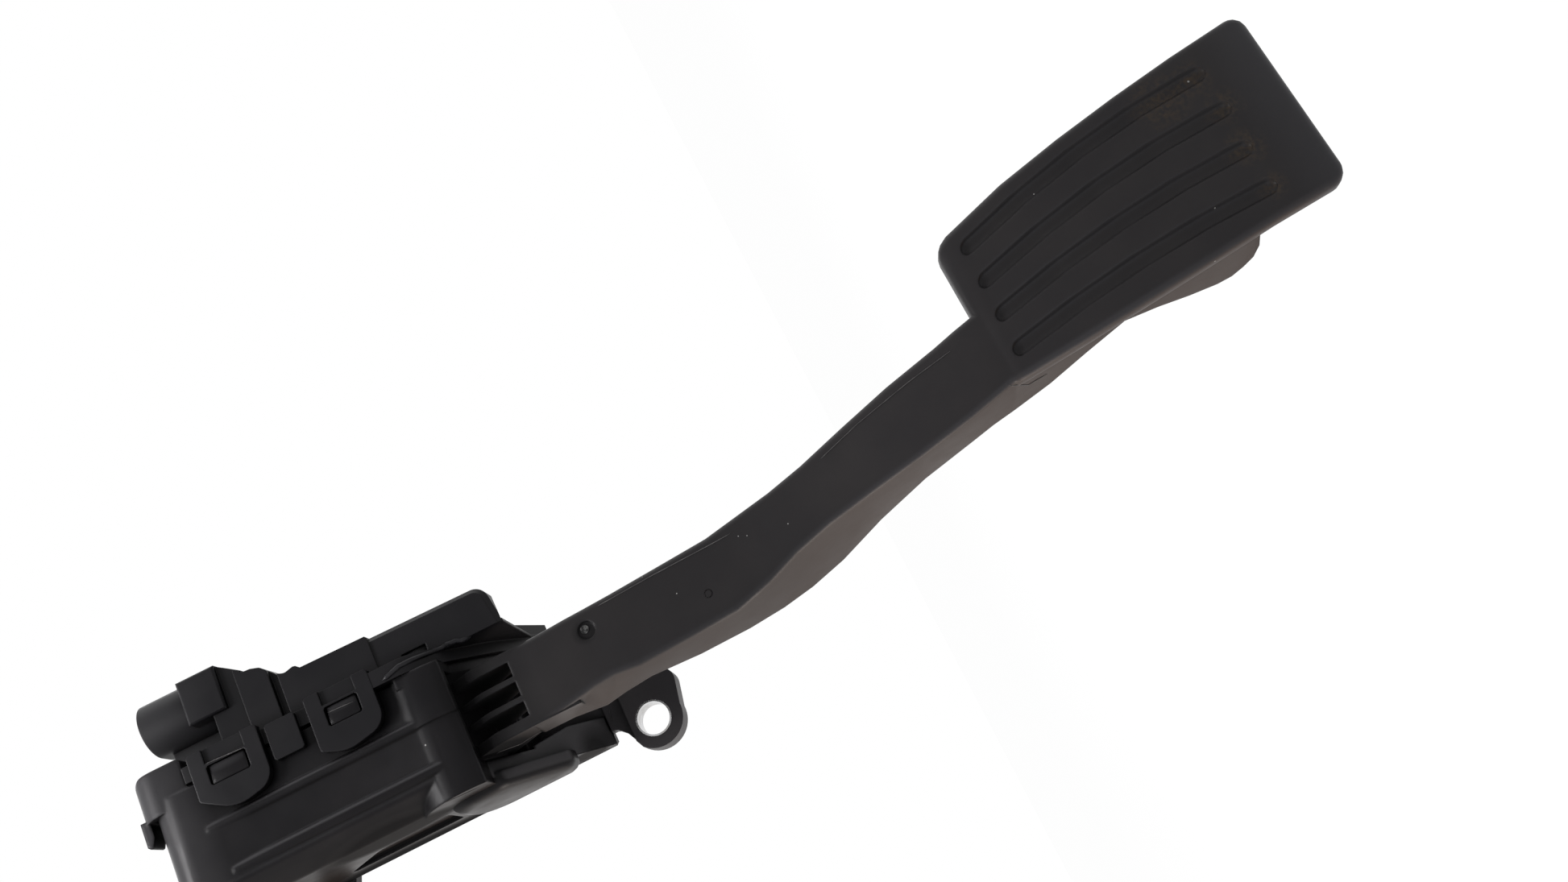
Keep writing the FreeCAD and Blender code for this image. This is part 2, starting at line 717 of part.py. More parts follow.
def arm_section(station, inner):
    """Channel section of the arm at one station: the outer outline, or the hollow inside it."""
    z, left, right, front, depth, lean_left, lean_right = station
    skin = skin_thickness if inner else 0.0
    wall = arm_wall if inner else 0.0
    reach = depth + 3.0 if inner else depth
    radius = 0.0 if inner else arm_edge_radius

    def flank(x, lean, at_depth):
        return x + lean * at_depth / depth

    corners = [
        (flank(left, -lean_left, reach) + wall, front + reach, 0),
        (flank(left, -lean_left, skin) + wall, front + skin, radius),
        (flank(right, lean_right, skin) - wall, front + skin, radius),
        (flank(right, lean_right, reach) - wall, front + reach, 0),
    ]
    return faceted(corners, edge_steps, lambda u, v: Vector(u, v, z))


def arm_front_y(z):
    """Place of the arm's front face at height z."""
    return edge_at([(station[3], station[0]) for station in arm_stations], z)


def make_arm():
    """Arm with its open channel, and the foot behind the plate."""
    arm = flat_faced([arm_section(station, False) for station in arm_stations])
    channel = flat_faced([arm_section(station, True) for station in arm_stations])
    foot_top, foot_end = foot_stations[0], foot_stations[-1]
    foot = flat_faced([arm_section(station, False) for station in foot_stations])
    hollow = flat_faced([arm_section(station, True) for station in foot_stations]).common(
        box(foot_top[1] - 5, foot_end[2] + 5, pad_middle_y - 5, 0,
            foot_tip_z + foot_end_wall, foot_top[0] + 1))
    return arm.cut(channel).fuse(foot.cut(hollow))


def pad_circle():
    """Centre and radius of the foot plate's front face in the side view."""
    front = Part.Arc(Vector(0, pad_top_y, pad_top_z), Vector(0, pad_middle_y, pad_middle_z),
                     Vector(0, pad_tip_y, pad_tip_z)).toShape().Curve
    return front.Center, front.Radius


def pad_front_y(z):
    """Place of the plate's front face at height z."""
    centre, radius = pad_circle()
    return centre.y - math.sqrt(radius ** 2 - (z - centre.z) ** 2)


def corner_inset(radius, distance):
    """How far a rounded corner lies inside its edge at this distance from the end."""
    if distance >= radius:
        return 0.0
    return radius - math.sqrt(radius ** 2 - (radius - distance) ** 2)


def edge_at(points, z):
    """Place of an edge at height z, on straight lines through (place, z) points from the top down."""
    for (x0, z0), (x1, z1) in zip(points, points[1:]):
        if z >= z1:
            break
    return x0 + (x1 - x0) * (z - z0) / (z1 - z0)


def pad_section(z):
    """Section of the foot plate at height z, its front corners rounded."""
    from_tip, from_top = z - pad_tip_z, pad_top_z - z
    left = edge_at(pad_left_edge, z)
    left += corner_inset(pad_tip_corner, from_tip) + corner_inset(pad_left_corner, from_top)
    right = edge_at(pad_right_edge, z)
    right -= corner_inset(pad_tip_corner, from_tip) + corner_inset(pad_right_corner, from_top)
    front = pad_front_y(z)
    rounded = front + corner_inset(pad_edge_radius, from_tip) + corner_inset(pad_edge_radius, from_top)
    radius = pad_edge_radius - 0.6 * (rounded - front)
    return faceted([
        (left, front + pad_thickness, 0),
        (left, rounded, radius),
        (right, rounded, radius),
        (right, front + pad_thickness, 0),
    ], edge_steps, lambda u, v: Vector(u, v, z))


def make_pad():
    """Curved foot plate with rounded edges, through sections from its tip to its top."""
    steps = 5
    low_z, high_z = pad_tip_z + pad_tip_corner, pad_top_z - pad_right_corner
    end_steps = [share * pad_edge_radius for share in (0.0, 0.15, 0.5, 1.0)]
    end_steps.append((pad_edge_radius + pad_tip_corner) / 2)
    heights = [pad_tip_z + step for step in end_steps]
    heights += [low_z + (high_z - low_z) * i / steps for i in range(steps + 1)]
    heights += [pad_top_z - step for step in reversed(end_steps[:4])]
    return flat_faced([pad_section(z) for z in heights])


def groove(start, end, bow):
    """Rounded trough in the plate's front face between two ends, bowed to the right."""
    length = start[1] - end[1]
    half_width = groove_width / 2
    shares = [step * half_width / length for step in (0.02, 0.2, 0.55, 1.0)]
    middle_steps = 4
    spread = 1 - 2 * shares[-1]
    shares = shares[:-1] + [shares[-1] + spread * i / middle_steps for i in range(middle_steps + 1)] + [
        1 - share for share in reversed(shares[:-1])]
    sections = []
    for share in shares:
        x = start[0] + (end[0] - start[0]) * share + bow * 4 * share * (1 - share)
        z = start[1] - length * share
        from_end = min(share, 1 - share) * length
        size = 1 - corner_inset(half_width, from_end) / half_width
        sections.append(groove_section(x, z, half_width * size, groove_depth_below * size))
    return flat_faced(sections)


def groove_section(x, z, half_width, depth):
    """Section of a groove at height z: a shallow bowl, open in front of the plate's face."""
    front = pad_front_y(z)
    turns = 4
    points = [Vector(x - half_width, front - groove_depth_below, z)]
    for i in range(turns + 1):
        angle = math.pi * i / turns
        points.append(Vector(x - half_width * math.cos(angle), front + depth * math.sin(angle), z))
    points.append(Vector(x + half_width, front - groove_depth_below, z))
    return points


def make_hub():
    """Hub drum, the four ribs that carry the arm, and the tail that lifts the slider."""
    drum = rod_x(hub_left_x, hub_right_x, pivot_y, pivot_z, hub_radius)
    rib_profile = [
        (-38.0, skin_end_z, 0),
        (-38.4, 8.0, 0),
        (-47.6, 8.0, 0),
        (-48.0, skin_end_z, 0),
        (-47.2, 32.0, 8.0),
        (-43.0, 38.5, 0),
        (pivot_y, pivot_z, 0),
        (-25.5, 37.5, 0),
        (-29.0, 33.0, 6.0),
    ]
    ribs = []
    first_rib_x = window_left_x + window_width
    second_rib_x = first_rib_x + rib_thickness + window_width
    last_rib_x = second_rib_x + rib_thickness + window_width
    for x0, x1 in ((rib_left_x + 0.1, window_left_x), (first_rib_x, first_rib_x + rib_thickness),
                   (second_rib_x, second_rib_x + rib_thickness), (last_rib_x, rib_right_x - 0.1)):
        low_z = skin_end_z - (1.0 if x1 - x0 > 2 * rib_thickness else rib_overlap)
        ribs.append(prism_x(rib_profile, x0, x1).common(
            box(x0 - 1, x1 + 1, front_y - 1, pivot_y + hub_radius, low_z, pivot_z)))
    tail = prism_x([
        (pivot_y, tail_z + tail_tip_radius, 0),
        (pivot_y, pivot_z - tail_root_below, 0),
        (tail_y, tail_z - tail_tip_radius, 0),
        (tail_y, tail_z + tail_tip_radius, 0),
    ], hub_mid_x - tail_width / 2, hub_mid_x + tail_width / 2)
    tip = rod_x(hub_mid_x - tail_width / 2, hub_mid_x + tail_width / 2, tail_y, tail_z, tail_tip_radius)
    return drum.fuse(ribs + [tail, tip])


def make_pedal_lever():
    """Lever moulding: foot plate, arm, ribs, hub and tail in one piece."""
    lever = make_arm().fuse([make_pad(), make_hub()])
    bore = rod_x(hub_left_x - 1, hub_right_x + 1, pivot_y, pivot_z, pin_radius + shaft_clearance)
    gate_front_y = arm_front_y(gate_z)
    gate = rod_y(gate_front_y - 1, gate_front_y + gate_depth, gate_x, gate_z, gate_radius)
    cuts = [groove(*ends) for ends in groove_ends]
    return one_solid(lever.cut(cuts + [bore, gate]))


def square_neck(x0, x1, width):
    """Square length about the pin's axis."""
    half = width / 2
    return box(x0, x1, pivot_y - half, pivot_y + half, pivot_z - half, pivot_z + half)


def make_pivot_pin():
    """Steel pin: bearing length, groove for the circlip and the square neck that carries the rotor."""
    start_x = bay_left_x - blind_bore_depth + running_gap
    neck_x = side_right_x + circlip_thickness + running_gap
    pin = rod_x(start_x, neck_x + 1.0, pivot_y, pivot_z, pin_radius)
    neck = square_neck(neck_x, rotor_top_x - magnet_thickness, pin_neck_width)
    ring = rod_x(side_right_x + running_gap / 2, side_right_x + running_gap / 2 + circlip_thickness,
                 pivot_y, pivot_z, pin_radius + 1).cut(
        rod_x(side_right_x, neck_x, pivot_y, pivot_z, pin_radius - groove_depth))
    pin = pin.cut(box(neck_x, neck_x + 2, pivot_y - 9, pivot_y + 9, pivot_z - 9, pivot_z + 9))
    return one_solid(pin.fuse(neck).cut(ring))


def make_circlip():
    """Open ring in the pin's groove."""
    x0 = side_right_x + running_gap / 2
    ring = rod_x(x0, x0 + circlip_thickness, pivot_y, pivot_z, circlip_radius).cut(
        rod_x(x0 - 1, x0 + 2, pivot_y, pivot_z, pin_radius - groove_depth))
    mouth = box(x0 - 1, x0 + 2, pivot_y - 1.6, pivot_y + 1.6, pivot_z - circlip_radius - 1, pivot_z)
    return one_solid(ring.cut(mouth))


def make_bush(x0, x1):
    """Plain bearing between the pin and a housing wall."""
    return rod_x(x0, x1, pivot_y, pivot_z, bush_radius).cut(
        rod_x(x0 - 1, x1 + 1, pivot_y, pivot_z, pin_radius + shaft_clearance))


def make_slider():
    """Friction slider: a cup for both springs on a stem that the lever's tail lifts."""
    cup = rod_z(slider_low_z, slider_low_z + slider_height, chamber_x, chamber_y, slider_radius)
    well = rod_z(slider_low_z + slider_floor, slider_low_z + slider_height + 1, chamber_x, chamber_y,
                 slider_radius - slider_wall)
    stem = prism_z([
        (chamber_x - stem_width / 2, chamber_y - stem_width / 2, 1.0),
        (chamber_x + stem_width / 2, chamber_y - stem_width / 2, 1.0),
        (chamber_x + stem_width / 2, chamber_y + stem_width / 2, 1.0),
        (chamber_x - stem_width / 2, chamber_y + stem_width / 2, 1.0),
    ], slider_bottom_z, slider_low_z + 1)
    return one_solid(cup.cut(well).fuse(stem))


def make_spring_seat():
    """Cap that both springs press against, with a spigot inside the inner spring."""
    base_z = chamber_top_z - seat_thickness
    disc = rod_z(base_z, chamber_top_z, chamber_x, chamber_y, chamber_radius - seat_clearance)
    room = inner_coil_radius - inner_wire_radius - 2 * running_gap
    spigot = prism_z(eight_sided(chamber_x, chamber_y, room * math.cos(math.pi / 8)),
                     base_z - spigot_length, base_z + 1)
    return one_solid(disc.fuse(spigot))


def bumper_stem(low_z, width):
    """Square stem of the bumper from low_z up into its block."""
    half = width / 2
    return box(chamber_x - half, chamber_x + half, bumper_y - half, bumper_y + half, low_z, ledge_top_z + 1)


def make_bumper():
    """Rubber block under the tail, its stem in the ledge."""
    block = prism_z([
        (chamber_x - bumper_width / 2, bumper_y - bumper_length / 2, 1.2),
        (chamber_x + bumper_width / 2, bumper_y - bumper_length / 2, 1.2),
        (chamber_x + bumper_width / 2, bumper_y + bumper_length / 2, 1.2),
        (chamber_x - bumper_width / 2, bumper_y + bumper_length / 2, 1.2),
    ], ledge_top_z, bumper_top_z)
    stem = bumper_stem(ledge_top_z - ledge_thickness, bumper_stem_width - 2 * seat_clearance)
    return one_solid(block.fuse(stem))


def sensor_body():
    """Outer form of the sensor module without its pocket."""
    low, middle, top = right_wall_edge
    plate = prism_x([
        (low[0], low[1], 0),
        (middle[0], middle[1], 50.0),
        (top[0], top[1], 9.0),
        (top[0], 56.0, 1.5),
        (front_y - 0.4, 57.5, 0),
        (front_y - 0.4, cap_low_z - running_gap, 0),
        (low[0], cap_low_z - running_gap, 0),
    ], side_right_x, sensor_plate_x)
    root_x = sensor_plate_x - 1
    lower = prism_y([
        (root_x, case_foot_z, 0),
        (45.6, case_foot_z + 1.7, 4.0),
        (46.1, case_step_z, 0),
        (root_x, case_step_z, 0),
    ], sensor_front_y + case_step, sensor_back_y)
    long_edges = [edge for edge in lower.Edges
                  if edge.BoundBox.YMax < sensor_front_y + case_step + 0.01
                  and edge.BoundBox.XMin > root_x + 1
                  and edge.BoundBox.ZMax - edge.BoundBox.ZMin > 3.0]
    lower = lower.makeChamfer(case_bevel, long_edges)
    below = prism_x([
        (sensor_front_y, case_foot_z, 0),
        (sensor_back_y, case_back_low_z, 0),
        (sensor_back_y + 1, case_back_low_z, 0),
        (sensor_back_y + 1, case_foot_z - 1, 0),
        (sensor_front_y, case_foot_z - 1, 0),
    ], sensor_plate_x, shroud_x)
    upper = prism_y([
        (root_x, case_step_z - 0.5, 0),
        (46.7, case_step_z - 0.5, 0.5),
        (47.0, 73.2, 0),
        (48.2, 74.5, 0.8),
        (47.5, 77.5, 2.0),
        (48.4, 79.8, 1.0),
        (51.9, 83.0, 2.0),
        (52.7, 85.4, 1.0),
        (52.9, 87.8, 1.0),
        (54.9, case_top_z, 0),
        (root_x, case_top_z, 0),
    ], sensor_front_y, sensor_back_y)
    gusset = prism_x([
        (gusset_edge[0][0], gusset_edge[0][1], 0),
        (gusset_edge[1][0], gusset_edge[1][1], 0),
        (gusset_edge[1][0], lid_low_z, 0),
        (gusset_edge[0][0], lid_low_z, 0),
    ], root_x, gusset_right_x)
    gap = box(sensor_plate_x, shroud_x + shroud_width, sensor_front_y - 1, sensor_front_y + rib_gap_depth,
              rib_gap_low_z, rib_gap_top_z)
    neck = prism_y([
        (root_x, neck_low_z, 0),
        (54.5, neck_low_z, 0),
        (57.3, neck_low_z + 4.0, 2.0),
        (58.6, neck_low_z + 6.0, 1.5),
        (58.8, neck_top_z, 0),
        (root_x, neck_top_z, 0),
    ], neck_front_y, sensor_back_y)
    web_right_x = shroud_x - shroud_width / 2 + 1.0
    clear_x = cap_right_x + running_gap
    web = prism_y([
        (root_x, neck_top_z - 1, 0),
        (web_right_x, neck_top_z - 1, 0),
        (web_right_x, web_top_z, 0),
        (clear_x, web_top_z, 0),
        (clear_x, cap_low_z - running_gap, 0),
        (root_x, cap_low_z - running_gap, 0),
    ], web_front_y, web_back_y)
    return plate.fuse([lower.cut(below), gusset, upper.cut(gap), neck, web])


def shroud_outline(inset):
    """Corners of the connector's oval, inset from its outer face."""
    half_width = shroud_width / 2 - inset
    half_depth = shroud_depth / 2 - inset
    radius = half_width - 0.01
    return [
        (shroud_x - half_width, shroud_y - half_depth, radius),
        (shroud_x + half_width, shroud_y - half_depth, radius),
        (shroud_x + half_width, shroud_y + half_depth, radius),
        (shroud_x - half_width, shroud_y + half_depth, radius),
    ]


def pin_paths():
    """Boxes of each connector pin: a leg from the board and a blade up into the socket."""
    socket_floor_z = shroud_tip_z - socket_depth
    half = pin_blade / 2
    pins = []
    for y in (shroud_y - pin_row_y, shroud_y + pin_row_y):
        for column, drop in zip((-1, 0, 1), pin_leg_drop):
            x, leg_z = shroud_x + column * pin_pitch, pocket_top_z - drop
            leg = box(board_low_x - 0.8, x + half, y - half, y + half, leg_z - half, leg_z + half)
            blade = box(x - half, x + half, y - half, y + half, leg_z - half, socket_floor_z + pin_reach)
            pins.append(leg.fuse(blade).removeSplitter())
    return pins


def pocket_room(x0, x1, inset):
    """Room of the sensor pocket between two places along X, inset from its walls."""
    low_z = lid_low_z + pocket_margin + inset
    back_y = sensor_back_y - pocket_margin - inset
    deep = box(x0, x1, sensor_front_y + pocket_margin + inset, back_y,
               low_z, case_top_z - pocket_margin - inset)
    upper = box(x0, x1, neck_front_y + pocket_margin + inset, back_y, low_z, pocket_top_z - inset)
    return deep.fuse(upper)


def make_sensor_housing():
    """Sensor module: side plate, box, connector shroud, latch block, clips and tab."""
    body = sensor_body()
    shroud = prism_z(shroud_outline(0.0), shroud_low_z, shroud_tip_z)
    latch = box(latch_left_x, latch_right_x, latch_front_y, shroud_y, latch_low_z, latch_top_z)
    latch_edges = [edge for edge in latch.Edges if edge.BoundBox.YMax < latch_front_y + 0.01]
    latch = latch.makeChamfer(latch_bevel, latch_edges)
    body = body.fuse([shroud, latch] + [snap_clip(*shape) for shape in clip_shapes] + [plain_tab()])
    pocket = pocket_room(floor_x, ledge_x, 0.0)
    mouth = box(ledge_x - 1, 60, sensor_front_y + pocket_margin + lid_margin,
                sensor_back_y - pocket_margin - lid_margin,
                lid_low_z + lid_margin, lid_top_z - lid_margin)
    lid_seat = box(ledge_x, 60, sensor_front_y + pocket_margin, sensor_back_y - pocket_margin,
                   lid_low_z, lid_top_z)
    rotor_room = prism_x(eight_sided(pivot_y, pivot_z, rotor_radius + 3 * running_gap),
                         side_right_x - 1, floor_x + 1)
    socket = prism_z(shroud_outline(shroud_wall), shroud_tip_z - socket_depth, shroud_tip_z + 1)
    body = body.cut([pocket, mouth, lid_seat, rotor_room, socket] + pin_paths())
    posts = [box(floor_x - 0.5, board_low_x, y - 1.5, y + 1.5, z - 1.5, z + 1.5)
             for y in (sensor_front_y + pocket_margin + 3.0, sensor_back_y - pocket_margin - 3.0)
             for z in (lid_low_z + pocket_margin + 2.6, 72.0)]
    return one_solid(body.fuse(posts))


def snap_clip(low_z, top_z, corner_x, bow_x, bow_z):
    """U-shaped clip that lies on the housing's front face, its window over the catch."""
    y1 = front_y - clip_gap
    y0 = y1 - clip_thickness
    end_x = sensor_plate_x + clip_end
    hoop = prism_y([
        (end_x, low_z, 0.6),
        (end_x, top_z, 0.6),
        (corner_x, top_z, 0.6),
        (bow_x, bow_z, 10.0),
        (bow_x + 2.2, low_z, 5.0),
    ], y0, y1)
    window = prism_y([
        (clip_window_right_x, low_z + clip_side, 0.5),
        (clip_window_right_x, top_z - clip_side, 0.5),
        (clip_window_left_x, top_z - clip_side, 0.5),
        (clip_window_left_x, low_z + clip_side, 0.5),
    ], y0 - 1, y1 + 1)
    recess = box(clip_window_right_x + clip_ridge, end_x + 1, y0 - 1, y0 + clip_recess,
                 low_z + clip_side, top_z - clip_side)
    return hoop.cut([window, recess])


def plain_tab():
    """Plain rectangular tab between the two clips."""
    y1 = front_y - clip_gap
    return prism_y([
        (sensor_plate_x, tab_low_z, 0.5),
        (sensor_plate_x, tab_top_z, 0.5),
        (tab_reach_x, tab_top_z, 0.5),
        (tab_reach_x, tab_low_z, 0.5),
    ], y1 - clip_thickness * 0.7, y1)


def make_sensor_cover():
    """Lid set into the box's outer face."""
    return box(lid_low_x, lid_top_x, sensor_front_y + pocket_margin + seat_clearance,
               sensor_back_y - pocket_margin - seat_clearance,
               lid_low_z + seat_clearance, lid_top_z - seat_clearance)


def make_gasket():
    """Flat seal between the lid and its ledge."""
    y0, y1 = sensor_front_y + pocket_margin + seat_clearance, sensor_back_y - pocket_margin - seat_clearance
    ring = box(ledge_x, lid_low_x, y0, y1, lid_low_z + seat_clearance, lid_top_z - seat_clearance)
    return ring.cut(box(ledge_x - 1, lid_low_x + 1, y0 + lid_margin, y1 - lid_margin,
                        lid_low_z + lid_margin, lid_top_z - lid_margin))


def make_board():
    """Circuit board on its four posts, with a hole for each pin."""
    return one_solid(pocket_room(board_low_x, board_top_x, board_margin).cut(pin_paths()))


def make_chips():
    """Two magnetic sensing chips on the board, facing the magnet."""
    half = chip_size / 2
    return Part.Compound([
        box(chip_low_x, board_low_x, pivot_y + side - half + 0.5, pivot_y + side + half - 0.5,
            pivot_z - half, pivot_z + half)
        for side in (-half - 0.2, half + 0.2)
    ])


def make_rotor():
    """Magnet carrier pressed on the pin's neck."""
    rotor = rod_x(rotor_low_x, rotor_top_x, pivot_y, pivot_z, rotor_radius)
    bore = square_neck(rotor_low_x - 1, rotor_top_x - magnet_thickness,
                       pin_neck_width + 2 * press_clearance)
    seat = rod_x(rotor_top_x - magnet_thickness, rotor_top_x + 1, pivot_y, pivot_z,
                 magnet_outer_radius + press_clearance)
    return one_solid(rotor.cut([bore, seat]))


def make_magnet():
    """Ring magnet, flush in the carrier's face."""
    x0 = rotor_top_x - magnet_thickness
    return rod_x(x0, rotor_top_x, pivot_y, pivot_z, magnet_outer_radius).cut(
        rod_x(x0 - 1, rotor_top_x + 1, pivot_y, pivot_z, magnet_inner_radius))


spring_low_z = slider_low_z + slider_floor
spring_top_z = chamber_top_z - seat_thickness

nodes = {
    "housing": make_housing(),
    "base_plate": make_base_plate(),
    "lower_mounting_sleeve": make_sleeve(0, 0),
    "upper_mounting_sleeve": make_sleeve(upper_lug_x, upper_lug_z),
    "pedal_lever": make_pedal_lever(),
    "pivot_pin": make_pivot_pin(),
    "pin_circlip": make_circlip(),
    "pivot_bush_left": make_bush(bay_left_x - blind_bore_depth + running_gap, bay_left_x),
    "pivot_bush_right": make_bush(right_wall_inner_x, side_right_x),
    "spring_slider": make_slider(),
    "return_spring_outer": coil(outer_wire_radius, outer_coil_radius, outer_turns,
                                spring_low_z, spring_top_z),
    "return_spring_inner": coil(inner_wire_radius, inner_coil_radius, inner_turns,
                                spring_low_z, spring_top_z),
    "spring_seat": make_spring_seat(),
    "idle_bumper": make_bumper(),
    "sensor_housing": make_sensor_housing(),
    "sensor_cover": make_sensor_cover(),
    "sensor_gasket": make_gasket(),
    "circuit_board": make_board(),
    "hall_sensors": make_chips(),
    "contact_pins": Part.Compound(pin_paths()),
    "magnet_rotor": make_rotor(),
    "ring_magnet": make_magnet(),
}

os.makedirs("parts", exist_ok=True)
for name, shape in nodes.items():
    shape.exportStep("parts/" + name + ".step")
    bounds = shape.BoundBox
    print("%-24s solids %d valid %s volume %.1f  X %.1f..%.1f Y %.1f..%.1f Z %.1f..%.1f" % (
        name, len(shape.Solids), shape.isValid(), shape.Volume, bounds.XMin, bounds.XMax,
        bounds.YMin, bounds.YMax, bounds.ZMin, bounds.ZMax))
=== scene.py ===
import json
import logging
import math
from collections.abc import Iterable
from dataclasses import dataclass
from enum import Enum

import bmesh
import bpy
from mathutils import Matrix, Vector
from mathutils.bvhtree import BVHTree


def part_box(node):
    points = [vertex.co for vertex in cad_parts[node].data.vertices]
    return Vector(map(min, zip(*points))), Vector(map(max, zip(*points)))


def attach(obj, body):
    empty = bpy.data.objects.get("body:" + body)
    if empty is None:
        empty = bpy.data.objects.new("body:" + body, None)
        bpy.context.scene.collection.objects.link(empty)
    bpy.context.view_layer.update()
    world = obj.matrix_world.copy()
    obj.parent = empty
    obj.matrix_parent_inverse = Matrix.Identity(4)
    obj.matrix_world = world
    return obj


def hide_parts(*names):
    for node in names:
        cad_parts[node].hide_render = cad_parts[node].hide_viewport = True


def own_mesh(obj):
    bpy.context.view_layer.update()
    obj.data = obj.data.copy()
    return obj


# Accelerator pedal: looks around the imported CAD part. Units are metres, in the part's own frame:
# +X is the driver's right, +Y points forward to the bulkhead and +Z is up.

log = logging.getLogger("pedal")
Colour = tuple[float, float, float]
Point = tuple[float, float, float]
Socket = bpy.types.NodeSocket

IMAGE_WIDTH_PX = 1946
EVEN: Point = (1.0, 1.0, 1.0)
LEFT: Point = (-1.0, 0.0, 0.0)

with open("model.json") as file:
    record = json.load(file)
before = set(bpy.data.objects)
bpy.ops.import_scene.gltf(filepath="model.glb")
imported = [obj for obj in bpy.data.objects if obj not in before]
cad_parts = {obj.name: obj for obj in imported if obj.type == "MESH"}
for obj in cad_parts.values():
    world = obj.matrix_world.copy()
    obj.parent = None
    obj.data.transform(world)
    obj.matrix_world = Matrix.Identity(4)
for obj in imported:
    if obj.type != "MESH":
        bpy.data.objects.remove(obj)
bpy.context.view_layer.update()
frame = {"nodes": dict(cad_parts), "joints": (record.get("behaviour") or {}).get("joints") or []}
JOINTS = {joint["name"]: joint for joint in frame["joints"]}
PIVOT: Point = tuple(JOINTS["pedal_pivot"]["pos_m"])


class Body(Enum):
    """Bodies of the part that a new piece can ride on."""

    HOUSING = "housing"
    PEDAL = "pedal"


@dataclass(frozen=True)
class Spot:
    """Soft mark on a surface.

    Its stretch is a factor on each axis: 0 makes it run on along that axis.
    """

    point: Point
    radius: float
    stretch: Point = EVEN
    strength: float = 1.0


# Octaves of noise in a fine grain, in slow patches and in ragged flecks, the distance at which vertices are
# welded, the samples that feel for edges and crevices, and how open a surface is where its crevice shade
# begins and where it is full.
GRAIN_DETAIL = 2.0
PATCH_DETAIL = 4.0
FLECK_DETAIL = 5.0
WELD_M = 1e-6
FEELER_SAMPLES = 6
OPEN_SHARE = 0.95
SHUT_SHARE = 0.45


